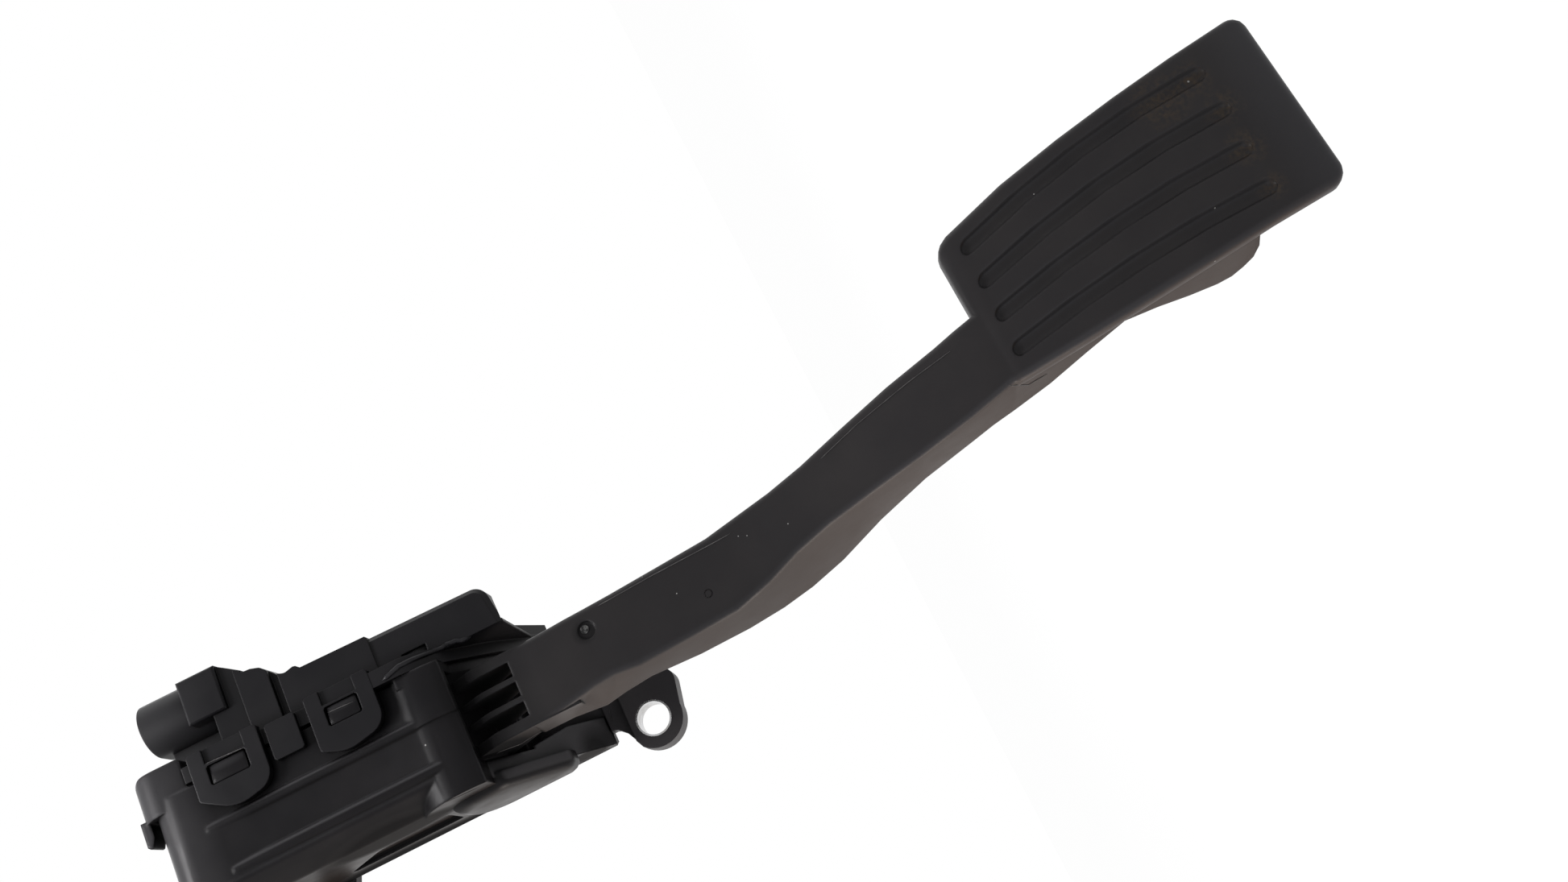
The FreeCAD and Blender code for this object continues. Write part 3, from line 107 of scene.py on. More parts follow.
class Graph:
    """Node tree of one material, built a node at a time on Object coordinates."""

    def __init__(self, name: str) -> None:
        """Start a material with a Principled shader.

        Args:
            name: name of the material.
        """
        self.material = bpy.data.materials.new(name)
        self.material.use_nodes = True
        self.tree = self.material.node_tree
        self.tree.nodes.clear()
        self.output = self.tree.nodes.new("ShaderNodeOutputMaterial")
        self.shader = self.tree.nodes.new("ShaderNodeBsdfPrincipled")
        self.coordinates = self.tree.nodes.new("ShaderNodeTexCoord")
        self.place = self.coordinates.outputs["Object"]
        self.link(self.shader.outputs["BSDF"], self.output.inputs["Surface"])

    def link(self, source: Socket, target: Socket) -> None:
        """Join an output to an input."""
        self.tree.links.new(source, target)

    def set(self, **values: object) -> None:
        """Set plain values on the shader's own sockets, named with _ for a space."""
        for name, value in values.items():
            self.shader.inputs[name.replace("_", " ")].default_value = value

    def noise(self, size_m: float, detail: float, stretch: Point = EVEN) -> Socket:
        """Noise with features of about one size.

        Args:
            size_m: size of a feature.
            detail: octaves of finer noise.
            stretch: factor on each axis, for streaks.

        Returns:
            The noise's 0 to 1 output.
        """
        mapping = self.tree.nodes.new("ShaderNodeMapping")
        mapping.inputs["Scale"].default_value = stretch
        self.link(self.place, mapping.inputs["Vector"])
        noise = self.tree.nodes.new("ShaderNodeTexNoise")
        noise.inputs["Scale"].default_value = 1.0 / size_m
        noise.inputs["Detail"].default_value = detail
        self.link(mapping.outputs["Vector"], noise.inputs["Vector"])
        return noise.outputs["Fac"]

    def span(self, value: Socket, low: float, high: float, to_low: float = 0.0,
             to_high: float = 1.0) -> Socket:
        """Map a value's range to another, clamped.

        Args:
            value: the input.
            low: input that gives to_low.
            high: input that gives to_high.
            to_low: output at low.
            to_high: output at high.

        Returns:
            The mapped output.
        """
        node = self.tree.nodes.new("ShaderNodeMapRange")
        ends = {"From Min": low, "From Max": high, "To Min": to_low, "To Max": to_high}
        for name, number in ends.items():
            node.inputs[name].default_value = number
        self.link(value, node.inputs["Value"])
        return node.outputs["Result"]

    def mix(self, first: Colour | Socket, second: Colour, share: Socket) -> Socket:
        """Blend two colours.

        Args:
            first: colour or output at share 0.
            second: colour at share 1.
            share: 0 to 1.

        Returns:
            The blended colour.
        """
        node = self.tree.nodes.new("ShaderNodeMix")
        node.data_type = "RGBA"
        if isinstance(first, tuple):
            node.inputs["A"].default_value = (*first, 1.0)
        else:
            self.link(first, node.inputs["A"])
        node.inputs["B"].default_value = (*second, 1.0)
        self.link(share, node.inputs["Factor"])
        return node.outputs["Result"]

    def combine(self, operation: str, first: Socket, second: Socket) -> Socket:
        """Work out one value from two.

        Args:
            operation: name of the Math node's operation.
            first: its first input.
            second: its second input.

        Returns:
            The result.
        """
        node = self.tree.nodes.new("ShaderNodeMath")
        node.operation = operation
        self.link(first, node.inputs[0])
        self.link(second, node.inputs[1])
        return node.outputs["Value"]

    def near(self, spot: Spot) -> Socket:
        """Share of a soft spot.

        Args:
            spot: its centre, its radius and how it is drawn out.

        Returns:
            1 at the centre, 0 from the radius outwards.
        """
        mapping = self.tree.nodes.new("ShaderNodeMapping")
        mapping.inputs["Location"].default_value = tuple(-p * s for p, s in zip(spot.point, spot.stretch))
        mapping.inputs["Scale"].default_value = spot.stretch
        self.link(self.place, mapping.inputs["Vector"])
        length = self.tree.nodes.new("ShaderNodeVectorMath")
        length.operation = "LENGTH"
        self.link(mapping.outputs["Vector"], length.inputs[0])
        return self.span(length.outputs["Value"], spot.radius, 0.0)

    def side(self, direction: Point, low: float, high: float, edge_m: float = 0.0) -> Socket:
        """Share of a surface that faces a direction.

        Args:
            direction: the direction, of length 1.
            low: cosine to it that gives 0.
            high: cosine to it that gives 1.
            edge_m: radius that edges count as rounded to, or 0 for the plain surface.

        Returns:
            0 to 1.
        """
        turn = self.tree.nodes.new("ShaderNodeVectorMath")
        turn.operation = "DOT_PRODUCT"
        facing = self.rounded(edge_m) if edge_m else self.coordinates.outputs["Normal"]
        self.link(facing, turn.inputs[0])
        turn.inputs[1].default_value = direction
        return self.span(turn.outputs["Value"], low, high)

    def rounded(self, edge_m: float) -> Socket:
        """Normal of the surface as if its edges were rounded.

        Args:
            edge_m: radius of the edges.

        Returns:
            The normal.
        """
        edge = self.tree.nodes.new("ShaderNodeBevel")
        edge.samples = FEELER_SAMPLES
        edge.inputs["Radius"].default_value = edge_m
        return edge.outputs["Normal"]

    def crevice(self, reach_m: float) -> Socket:
        """Share of a surface that is shut in by walls nearby.

        Args:
            reach_m: how near the walls have to be.

        Returns:
            0 in the open, 1 deep in a crevice.
        """
        node = self.tree.nodes.new("ShaderNodeAmbientOcclusion")
        node.samples = FEELER_SAMPLES
        node.inputs["Distance"].default_value = reach_m
        return self.span(node.outputs["AO"], OPEN_SHARE, SHUT_SHARE)

    def bump(self, height: Socket, depth_m: float, edge_m: float = 0.0) -> None:
        """Raise the surface by a height field of this depth.

        Args:
            height: the height field, 0 to 1.
            depth_m: its depth.
            edge_m: radius of the worn edges, or 0 for crisp ones.
        """
        node = self.tree.nodes.new("ShaderNodeBump")
        if edge_m:
            self.link(self.rounded(edge_m), node.inputs["Normal"])
        node.inputs["Strength"].default_value = 1.0
        node.inputs["Distance"].default_value = depth_m
        self.link(height, node.inputs["Height"])
        self.link(node.outputs["Normal"], self.shader.inputs["Normal"])


# What every plastic shares: ranges of noise that show wear, dirt and gloss, cosines that mark an edge with a
# painted highlight, how far painted side light blends in, how spots fade, and the sizes of flecks and of
# patches of gloss.
WORN_RANGE = (0.42, 0.72)
FLECK_RANGE = (0.38, 0.66)
GLOSS_RANGE = (0.3, 0.7)
PAINTED_HIGHLIGHT_COSINES = (0.88, 0.985)
SIDE_LIGHT_BLEND = 0.35
SHADE_FADE = 0.45
SPECK_FADE = (0.1, 0.4)
FLECK_M = 0.0012
GLOSS_PATCH_SHARE = 0.4


@dataclass(frozen=True)
class Moulding:
    """Moulded plastic with a fine grain and slow changes of tone and gloss."""

    name: str
    colour: Colour
    worn: Colour
    roughness: float = 0.48
    rough_change: float = 0.10
    patch_m: float = 0.018
    grain_m: float = 0.00045
    grain_depth_m: float = 0.000012
    specular: float = 0.12
    edge_m: float = 0.0005
    dirt: Colour = (0.050, 0.036, 0.024)
    dirt_spots: tuple[Spot, ...] = ()
    # Painted shade: a near-black colour in crevices and in the listed spots.
    shade: Colour = (0.0015, 0.0014, 0.0016)
    shade_spots: tuple[Spot, ...] = ()
    speck: Colour = (0.26, 0.26, 0.25)
    specks: tuple[Spot, ...] = ()
    # Painted light: a paler colour in soft bands, standing in for light falling there.
    painted_light: Colour = (0.0330, 0.0322, 0.0350)
    painted_light_bands: tuple[Spot, ...] = ()
    # Painted side light: surfaces that face left take a warmer, paler colour, as if lit from the left.
    painted_side_light: Colour | None = None
    painted_side_light_from: float = 0.30
    # Painted highlight: edges that face each of the given ways take a paler colour.
    painted_highlight: Colour = (0.0300, 0.0296, 0.0322)
    painted_highlight_m: float = 0.0018
    painted_highlight_ways: tuple[Point, ...] = ()
    crevice_m: float = 0.005

    def build(self) -> bpy.types.Material:
        """Build the finish: its tone and gloss, then its painted shade in spots, light specks and grain.

        Returns:
            The finished material.
        """
        graph = Graph(self.name)
        graph.set(Specular_IOR_Level=self.specular)
        tone = self.surface_tone(graph)
        gloss = graph.span(graph.noise(self.patch_m * GLOSS_PATCH_SHARE, FLECK_DETAIL), *GLOSS_RANGE,
                           self.roughness - self.rough_change / 2, self.roughness + self.rough_change / 2)
        # Painted shade in the listed spots, where the surface is also rougher.
        for spot in self.shade_spots:
            share = graph.span(graph.near(spot), 0.0, SHADE_FADE, 0.0, spot.strength)
            tone = graph.mix(tone, self.shade, share)
            gloss = graph.combine("MAXIMUM", gloss, share)
        for spot in self.specks:
            tone = graph.mix(tone, self.speck, graph.span(graph.near(spot), *SPECK_FADE))
        graph.link(tone, graph.shader.inputs["Base Color"])
        graph.link(gloss, graph.shader.inputs["Roughness"])
        graph.bump(graph.noise(self.grain_m, GRAIN_DETAIL), self.grain_depth_m, self.edge_m)
        return graph.material

    def surface_tone(self, graph: Graph) -> Socket:
        """Colour of the surface with its painted side light, dirt, painted edge highlights, painted light
        bands and painted shade in crevices.

        Args:
            graph: node tree to add to.

        Returns:
            The colour.
        """
        worn = graph.span(graph.noise(self.patch_m, PATCH_DETAIL), *WORN_RANGE)
        tone = graph.mix(self.colour, self.worn, worn)
        # Painted side light: surfaces that face left take the warm, paler side colour.
        if self.painted_side_light:
            side_light_full = min(1.0, self.painted_side_light_from + SIDE_LIGHT_BLEND)
            tone = graph.mix(tone, self.painted_side_light, graph.side(LEFT, self.painted_side_light_from, side_light_full))
        if self.dirt_spots:
            flecks = graph.span(graph.noise(FLECK_M, FLECK_DETAIL), *FLECK_RANGE)
            for spot in self.dirt_spots:
                tone = graph.mix(tone, self.dirt, graph.combine("MULTIPLY", flecks, graph.near(spot)))
        # Painted highlights on edges that face each given way.
        for way in self.painted_highlight_ways:
            tone = graph.mix(tone, self.painted_highlight, graph.side(way, *PAINTED_HIGHLIGHT_COSINES, self.painted_highlight_m))
        # Painted light in the listed bands.
        for spot in self.painted_light_bands:
            tone = graph.mix(tone, self.painted_light, graph.near(spot))
        # Painted shade, darkest deep in crevices.
        return graph.mix(tone, self.shade, graph.crevice(self.crevice_m))


@dataclass(frozen=True)
class Metal:
    """Bare or plated metal with fine turning marks."""

    name: str
    colour: Colour
    dull: Colour
    roughness: float = 0.28
    stretch: Point = (1.0, 8.0, 1.0)
    stain_m: float = 0.004
    stain_range: tuple[float, float] = (0.45, 0.7)
    mark_m: float = 0.0006
    mark_depth_m: float = 0.000004
    mark_range: tuple[float, float] = (0.2, 0.8)
    smoothest: float = 0.8
    roughest: float = 1.3

    def build(self) -> bpy.types.Material:
        """Build the finish from stains and turning marks.

        Returns:
            The finished material.
        """
        graph = Graph(self.name)
        graph.set(Metallic=1.0)
        stains = graph.span(graph.noise(self.stain_m, PATCH_DETAIL), *self.stain_range)
        graph.link(graph.mix(self.colour, self.dull, stains), graph.shader.inputs["Base Color"])
        marks = graph.noise(self.mark_m, GRAIN_DETAIL, self.stretch)
        gloss = graph.span(marks, *self.mark_range,
                           self.roughness * self.smoothest, self.roughness * self.roughest)
        graph.link(gloss, graph.shader.inputs["Roughness"])
        graph.bump(marks, self.mark_depth_m)
        return graph.material


@dataclass(frozen=True)
class Rubber:
    """Soft rubber with a dull, dusty surface."""

    name: str
    colour: Colour
    dust: Colour
    roughness: float = 0.75
    dust_m: float = 0.002
    dust_range: tuple[float, float] = (0.45, 0.8)
    grain_m: float = 0.0003
    grain_depth_m: float = 0.00001

    def build(self) -> bpy.types.Material:
        """Build the finish from dust and a fine grain.

        Returns:
            The finished material.
        """
        graph = Graph(self.name)
        graph.set(Roughness=self.roughness)
        dusty = graph.span(graph.noise(self.dust_m, FLECK_DETAIL), *self.dust_range)
        graph.link(graph.mix(self.colour, self.dust, dusty), graph.shader.inputs["Base Color"])
        graph.bump(graph.noise(self.grain_m, GRAIN_DETAIL), self.grain_depth_m)
        return graph.material


# Finishes of the lever. Dirt sits at the ends of the plate's grooves. Painted shade lies in the gate's
# recess, round the hub and at the root of the arm. The arm's left side has painted warm side light, its
# edges that face left-front and front-down have painted highlights, and the plate's tip has a painted
# highlight band.
LEVER_PLASTIC = Moulding(
    "lever_plastic", (0.0202, 0.0186, 0.0196), (0.0240, 0.0219, 0.0223), roughness=0.42, edge_m=0.0009,
    # Painted warm side light on surfaces that face left, and painted highlights on edges that face
    # left-front and front-down.
    painted_side_light=(0.0425, 0.0320, 0.0275), painted_highlight_ways=((-0.64, -0.76, 0.10), (0.0, -0.74, -0.67)),
    dirt_spots=(
        Spot((0.0647, -0.0873, -0.1895), 0.0060),
        Spot((0.0548, -0.0874, -0.1925), 0.0060),
        Spot((0.0432, -0.0874, -0.1913), 0.0060),
        Spot((0.0318, -0.0874, -0.1915), 0.0045),
        Spot((0.0630, -0.0870, -0.1800), 0.0090),
    ),
    specks=(
        Spot((0.0649, -0.0873, -0.1891), 0.00034),
        Spot((0.0251, -0.0524, -0.0177), 0.00020),
        Spot((0.0169, -0.0538, -0.0238), 0.00020),
        Spot((0.0219, -0.0579, -0.0438), 0.00020),
        Spot((0.0209, -0.0583, -0.0458), 0.00020),
        Spot((0.0182, -0.0612, -0.0561), 0.00020),
        Spot((0.0576, -0.0848, -0.1436), 0.00024),
        Spot((0.0331, -0.0880, -0.1773), 0.00024),
        Spot((0.0220, -0.0866, -0.1710), 0.00024),
    ),
    # Painted shade in the gate's recess, round the hub and at the root of the arm.
    shade_spots=(
        Spot((0.0196, -0.0500, 0.0014), 0.0036, strength=0.65),
        Spot(PIVOT, 0.031, (0.0, 1.0, 1.0)),
        Spot((0.020, -0.050, 0.012), 0.095, strength=0.30),
    ),
    # Painted highlight band along the plate's tip.
    painted_light_bands=(Spot((0.0, 0.0, -0.2094), 0.0150, (0.0, 0.0, 1.0)),),
)
# Paler lines along parting lines and edges; on the catch edges and the boss's end rim the paler colour is a
# painted glint and highlight.
PALE_LINE_AND_GLINT = Moulding(
    "pale_line_and_glint", (0.055, 0.053, 0.053), (0.110, 0.106, 0.104), roughness=0.4, patch_m=0.003, edge_m=0.0)
GATE_STUB = Moulding(
    "gate_stub", (0.018, 0.018, 0.018), (0.160, 0.160, 0.155), roughness=0.6, patch_m=0.0007, grain_m=0.0004,
    grain_depth_m=0.00015, edge_m=0.0)
# Painted highlight: a paler colour along the rim round the boss, standing in for the rim catching light.
RIM_HIGHLIGHT = Moulding(
    "rim_highlight", (0.0150, 0.0145, 0.0165), (0.0190, 0.0185, 0.0200), roughness=0.36, edge_m=0.0)

# Finishes of the housing, of what it holds and of the rear plate. The housing's upper end has painted light,
# the right sides of its beads and the walls that face down have painted highlights, and its left side has
# painted warm side light. Painted shade lies below the boss, on the left side and near the lower lug.
HOUSING_PLASTIC = Moulding(
    "housing_plastic", (0.0072, 0.0068, 0.0076), (0.0098, 0.0090, 0.0098), roughness=0.35, specular=0.08,
    # Painted warm side light on surfaces that face left.
    edge_m=0.0012, painted_side_light=(0.0170, 0.0138, 0.0126), painted_side_light_from=0.80,
    # Painted highlights on the right sides of the beads and on walls that face down.
    painted_highlight=(0.0420, 0.0408, 0.0428), painted_highlight_m=0.0008, painted_highlight_ways=((0.56, -0.83, 0.0), (0.0, -0.61, -0.79)),
    # Painted light at the upper end.
    painted_light=(0.0400, 0.0390, 0.0410), painted_light_bands=(Spot((0.0, 0.0, 0.124), 0.020, (0.0, 0.0, 1.0)),),
    specks=(Spot((0.0124, -0.0483, 0.0490), 0.0003),),
    # Painted shade below the boss, on the left side and near the lower lug.
    shade_spots=(
        Spot((0.018, -0.043, 0.033), 0.011, (0.45, 1.0, 1.0)),
        Spot((-0.002, 0.000, 0.075), 0.017, (1.0, 1.0, 0.35)),
        Spot((-0.0012, -0.0080, 0.0200), 0.0085, strength=0.7),
        Spot((-0.0035, -0.0360, 0.0680), 0.0220, (2.0, 1.6, 0.8), 0.75),
    ),
)
PLATE_PLASTIC = Moulding(
    "plate_plastic", (0.0340, 0.0320, 0.0340), (0.0400, 0.0372, 0.0380), roughness=0.45,
    # Painted shade near the lower lug.
    shade_spots=(Spot((-0.0030, -0.0030, 0.0220), 0.0110, strength=0.7),))
SEAT_PLASTIC = Moulding("seat_plastic", (0.030, 0.030, 0.032), (0.040, 0.038, 0.038))
BEARING_PLASTIC = Moulding(
    "bearing_plastic", (0.58, 0.56, 0.49), (0.50, 0.47, 0.40), roughness=0.35, patch_m=0.003)
SLIDER_PLASTIC = Moulding(
    "slider_plastic", (0.46, 0.44, 0.38), (0.38, 0.35, 0.29), roughness=0.38, patch_m=0.004)
BUMPER_RUBBER = Rubber("bumper_rubber", (0.015, 0.015, 0.015), (0.035, 0.033, 0.030))
ZINC_STEEL = Metal("zinc_steel", (0.62, 0.62, 0.63), (0.40, 0.39, 0.37), roughness=0.26)
PIN_STEEL = Metal("pin_steel", (0.55, 0.55, 0.56), (0.42, 0.41, 0.40), stretch=(8.0, 1.0, 1.0))
SPRING_STEEL = Metal("spring_steel", (0.24, 0.235, 0.23), (0.14, 0.13, 0.12), roughness=0.34)

# Finishes of the sensor module and of the rotor that it senses. The sensor box's upper end has painted
# light.
SENSOR_PLASTIC = Moulding(
    "sensor_plastic", (0.0058, 0.0055, 0.0065), (0.0080, 0.0075, 0.0084), roughness=0.42,
    # Painted light at the upper end.
    painted_light=(0.0300, 0.0295, 0.0310), painted_light_bands=(Spot((0.0, 0.0, 0.124), 0.026, (0.0, 0.0, 1.0)),))
COVER_PLASTIC = Moulding(
    "cover_plastic", (0.0048, 0.0046, 0.0055), (0.0068, 0.0063, 0.0071), roughness=0.52)
ROTOR_PLASTIC = Moulding("rotor_plastic", (0.030, 0.030, 0.031), (0.040, 0.038, 0.038))
CHIP_RESIN = Moulding("chip_resin", (0.012, 0.012, 0.013), (0.018, 0.018, 0.018), patch_m=0.002)
BOARD_LAMINATE = Moulding(
    "board_laminate", (0.012, 0.085, 0.032), (0.018, 0.105, 0.040), roughness=0.3, patch_m=0.004)
GASKET_RUBBER = Rubber("gasket_rubber", (0.26, 0.055, 0.030), (0.32, 0.11, 0.07))
CONTACT_METAL = Metal("contact_metal", (0.66, 0.62, 0.54), (0.50, 0.45, 0.36), stretch=(1.0, 1.0, 4.0))
MAGNET_FERRITE = Metal("magnet_ferrite", (0.10, 0.10, 0.105), (0.06, 0.06, 0.06), roughness=0.5)


def dress(node: str, finish: Moulding | Metal | Rubber) -> None:
    """Give a CAD node its finish.

    Args:
        node: name of the node.
        finish: what it is made of.
    """
    mesh = frame["nodes"][node].data
    mesh.materials.clear()
    mesh.materials.append(finish.build())
    log.info("dressed %s in %s", node, finish.name)


def add_piece(name: str, mesh: bmesh.types.BMesh, material: bpy.types.Material, body: Body,
              sharp_deg: float) -> bpy.types.Object:
    """Make an object of a bmesh, in place, and let it ride on a body.

    Args:
        name: name of the piece.
        mesh: its shape in the part's frame; freed here.
        material: its finish.
        body: what it moves with.
        sharp_deg: edges sharper than this stay sharp.

    Returns:
        The new object.
    """
    limit = math.radians(sharp_deg)
    for face in mesh.faces:
        face.smooth = True
    for edge in mesh.edges:
        edge.smooth = len(edge.link_faces) == 2 and edge.calc_face_angle() < limit
    data = bpy.data.meshes.new(name)
    mesh.to_mesh(data)
    mesh.free()
    data.materials.append(material)
    piece = bpy.data.objects.new(name, data)
    bpy.context.scene.collection.objects.link(piece)
    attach(piece, body.value)
    log.info("made %s with %d faces", name, len(data.polygons))
    return piece


def skin_of(node: str, name: str, finish: Moulding, body: Body, sharp_deg: float) -> None:
    """Make a closed copy of a CAD node, with smooth shading over its bands, in the node's place.

    Args:
        node: the CAD node to stand for.
        name: name of the piece.
        finish: what it is made of, which is also the name of its slot.
        body: what it moves with.
        sharp_deg: edges sharper than this stay sharp.
    """
    mesh = bmesh.new()
    mesh.from_mesh(frame["nodes"][node].data)
    bmesh.ops.remove_doubles(mesh, verts=mesh.verts, dist=WELD_M)
    skin = add_piece(name, mesh, finish.build(), body, sharp_deg)
    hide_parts(node)


def edges_at(verts: Iterable[bmesh.types.BMVert]) -> list[bmesh.types.BMEdge]:
    """List every edge at some vertices once, in a fixed order.

    Args:
        verts: the vertices.

    Returns:
        Their edges.
    """
    return list(dict.fromkeys(edge for vert in verts for edge in vert.link_edges))


@dataclass
class Lever:
    """Pedal lever with its foot plate, and the shaft parts that turn with it."""

    body: Body = Body.PEDAL
    sharp_deg: float = 40.0

    def build(self) -> None:
        """Dress the lever and its shaft."""
        skin_of("pedal_lever", "lever_moulding", LEVER_PLASTIC, self.body, self.sharp_deg)
        dress("pivot_pin", PIN_STEEL)
        dress("pin_circlip", SPRING_STEEL)
        dress("magnet_rotor", ROTOR_PLASTIC)
        dress("ring_magnet", MAGNET_FERRITE)


@dataclass
class HousingShell:
    """Front shell with its bearings, and the rear plate with its sleeves."""

    body: Body = Body.HOUSING
    sharp_deg: float = 33.0

    def build(self) -> None:
        """Dress the shell and the plate."""
        skin_of("housing", "housing_moulding", HOUSING_PLASTIC, self.body, self.sharp_deg)
        skin_of("base_plate", "plate_moulding", PLATE_PLASTIC, self.body, self.sharp_deg)
        dress("lower_mounting_sleeve", ZINC_STEEL)
        dress("upper_mounting_sleeve", ZINC_STEEL)
        dress("pivot_bush_left", BEARING_PLASTIC)
        dress("pivot_bush_right", BEARING_PLASTIC)
        dress("idle_bumper", BUMPER_RUBBER)
        dress("spring_seat", SEAT_PLASTIC)
        dress("spring_slider", SLIDER_PLASTIC)


@dataclass
class SensorModule:
    """Sensor box with its cover, board, contacts and connector."""

    body: Body = Body.HOUSING
    sharp_deg: float = 33.0

    def build(self) -> None:
        """Dress the module."""
        skin_of("sensor_housing", "sensor_moulding", SENSOR_PLASTIC, self.body, self.sharp_deg)
        dress("sensor_cover", COVER_PLASTIC)
        dress("sensor_gasket", GASKET_RUBBER)
        dress("circuit_board", BOARD_LAMINATE)
        dress("hall_sensors", CHIP_RESIN)
        dress("contact_pins", CONTACT_METAL)


@dataclass
class CatchFaces:
    """Sloping faces that fill the snap clips' windows, almost level with the clips."""

    body: Body = Body.HOUSING
    middle_x: float = 0.0295
    middle_y: float = -0.0489
    length: float = 0.00485
    depth: float = 0.0026
    slope_deg: float = 5.8
    bevel: float = 0.00015
    sharp_deg: float = 50.0
    left_ends: tuple[float, float] = (0.0910, 0.1007)
    right_ends: tuple[float, float] = (0.0602, 0.0683)

    def build(self) -> None:
        """Make the face of each clip's window."""
        self.face("left_catch_face", *self.left_ends)
        self.face("right_catch_face", *self.right_ends)

    def face(self, name: str, low_z: float, high_z: float) -> None:
        """Make one face.

        Args:
            name: name of the piece.
            low_z: its lower end.
            high_z: its upper end.
        """
        mesh = bmesh.new()
        place = (Matrix.Translation((self.middle_x, self.middle_y, (low_z + high_z) / 2))
                 @ Matrix.Rotation(math.radians(self.slope_deg), 4, "Z")
                 @ Matrix.Diagonal((self.length, self.depth, high_z - low_z, 1.0)))
        bmesh.ops.create_cube(mesh, size=1.0, matrix=place)
        bmesh.ops.bevel(mesh, geom=list(mesh.edges), offset=self.bevel, offset_type="OFFSET", segments=2,
                        profile=0.5, affect="EDGES", material=-1)
        add_piece(name, mesh, HOUSING_PLASTIC.build(), self.body, self.sharp_deg)


@dataclass(frozen=True)
class Bead:
    """Thin raised line along a CAD node or a piece, through a few places on it."""

    name: str
    ground: str
    body: Body
    slot: str
    places: tuple[Point, ...]
    radius: float = 0.00014


BEADS = (
    Bead("root_parting_line", "pedal_lever", Body.PEDAL, "lever_plastic",
         ((0.0042, -0.0393, 0.0358), (0.0045, -0.0355, 0.0302), (0.0039, -0.0390, 0.0224))),
    Bead("plate_notch_line", "base_plate", Body.HOUSING, "plate_plastic",
         ((0.0085, -0.0050, 0.0105), (0.0039, -0.0050, 0.0115))),
    Bead("arm_parting_line", "pedal_lever", Body.PEDAL, "lever_plastic",
         ((0.0238, -0.0511, -0.0044), (0.0240, -0.0533, -0.0209), (0.0235, -0.0575, -0.0422))),
    Bead("left_catch_line", "sensor_housing", Body.HOUSING, "sensor_plastic",
         ((0.0329, -0.0505, 0.1010), (0.0322, -0.0505, 0.0905))),
    Bead("right_catch_line", "right_catch_face", Body.HOUSING, "sensor_plastic",
         ((0.0307, -0.0502, 0.0682), (0.0303, -0.0502, 0.0612))),
    Bead("lower_arm_line", "pedal_lever", Body.PEDAL, "lever_plastic",
         ((0.0280, -0.0654, -0.0703), (0.0306, -0.0688, -0.0817), (0.0329, -0.0739, -0.0972),
          (0.0340, -0.0776, -0.1088))),
    Bead("pad_corner_line", "pedal_lever", Body.PEDAL, "lever_plastic",
         ((0.0202, -0.0795, -0.1160), (0.0193, -0.0772, -0.1186), (0.0191, -0.0733, -0.1218),
          (0.0195, -0.0733, -0.1271))),
    Bead("boss_end_rim", "housing", Body.HOUSING, "housing_plastic",
         ((-0.0025, -0.0478, 0.0503), (-0.0026, -0.0457, 0.0412))),
)
BOSS_PLATE_RIM = Bead(
    "boss_plate_rim", "sensor_housing", Body.HOUSING, "sensor_plastic",
    ((0.0317, -0.0504, 0.0524), (0.0332, -0.0503, 0.0474), (0.0338, -0.0474, 0.0422),
     (0.0350, -0.0424, 0.0360), (0.0342, -0.0420, 0.0298)), radius=0.0007)


@dataclass
class FineLines:
    """Parting lines, edge lines and rims that stand on the big pieces, in a paler colour that is a painted
    glint and highlight on the catch edges and the boss's end rim.
    """

    sides: int = 6
    step: float = 0.0012
    end_share: float = 0.35
    sharp_deg: float = 75.0

    def build(self) -> None:
        """Lay every bead on its ground."""
        # Paler lines, partly painted glints and highlights.
        pale_lines = PALE_LINE_AND_GLINT.build()
        for bead in BEADS:
            self.lay(bead, pale_lines)
        self.lay(BOSS_PLATE_RIM, RIM_HIGHLIGHT.build())

    def lay(self, bead: Bead, material: bpy.types.Material) -> None:
        """Make a closed bead along its ground, with thin ends.

        Args:
            bead: the bead.
            material: its finish.
        """
        mesh = bmesh.new()
        path = self.path_of(bead, mesh)
        rings = []
        for i, point in enumerate(path):
            ahead = path[min(i + 1, len(path) - 1)] - path[max(i - 1, 0)]
            radius = bead.radius * (self.end_share if i in (0, len(path) - 1) else 1.0)
            place = Matrix.Translation(point) @ ahead.to_track_quat("Z", "Y").to_matrix().to_4x4()
            ring = bmesh.ops.create_circle(mesh, segments=self.sides, radius=radius, matrix=place)
            rings.append(edges_at(ring["verts"]))
        for first, second in zip(rings, rings[1:]):
            bmesh.ops.bridge_loops(mesh, edges=first + second)
        bmesh.ops.holes_fill(mesh, edges=rings[0] + rings[-1], sides=0)
        bmesh.ops.recalc_face_normals(mesh, faces=mesh.faces)
        add_piece(bead.name, mesh, material, bead.body, self.sharp_deg)

    def path_of(self, bead: Bead, scratch: bmesh.types.BMesh) -> list[Vector]:
        """Find the points of a bead's path, each on the ground's surface.

        Args:
            bead: the bead.
            scratch: empty mesh to read the ground with; left empty.

        Returns:
            The points in order.
        """
        ground = frame["nodes"].get(bead.ground) or bpy.data.objects[bead.ground]
        scratch.from_mesh(ground.data)
        surface = BVHTree.FromBMesh(scratch)
        scratch.clear()
        places = [Vector(place) for place in bead.places]
        path = []
        for start, end in zip(places, places[1:]):
            count = max(1, round((end - start).length / self.step))
            path += [surface.find_nearest(start.lerp(end, i / count))[0] for i in range(count)]
        path.append(surface.find_nearest(places[-1])[0])
        return path


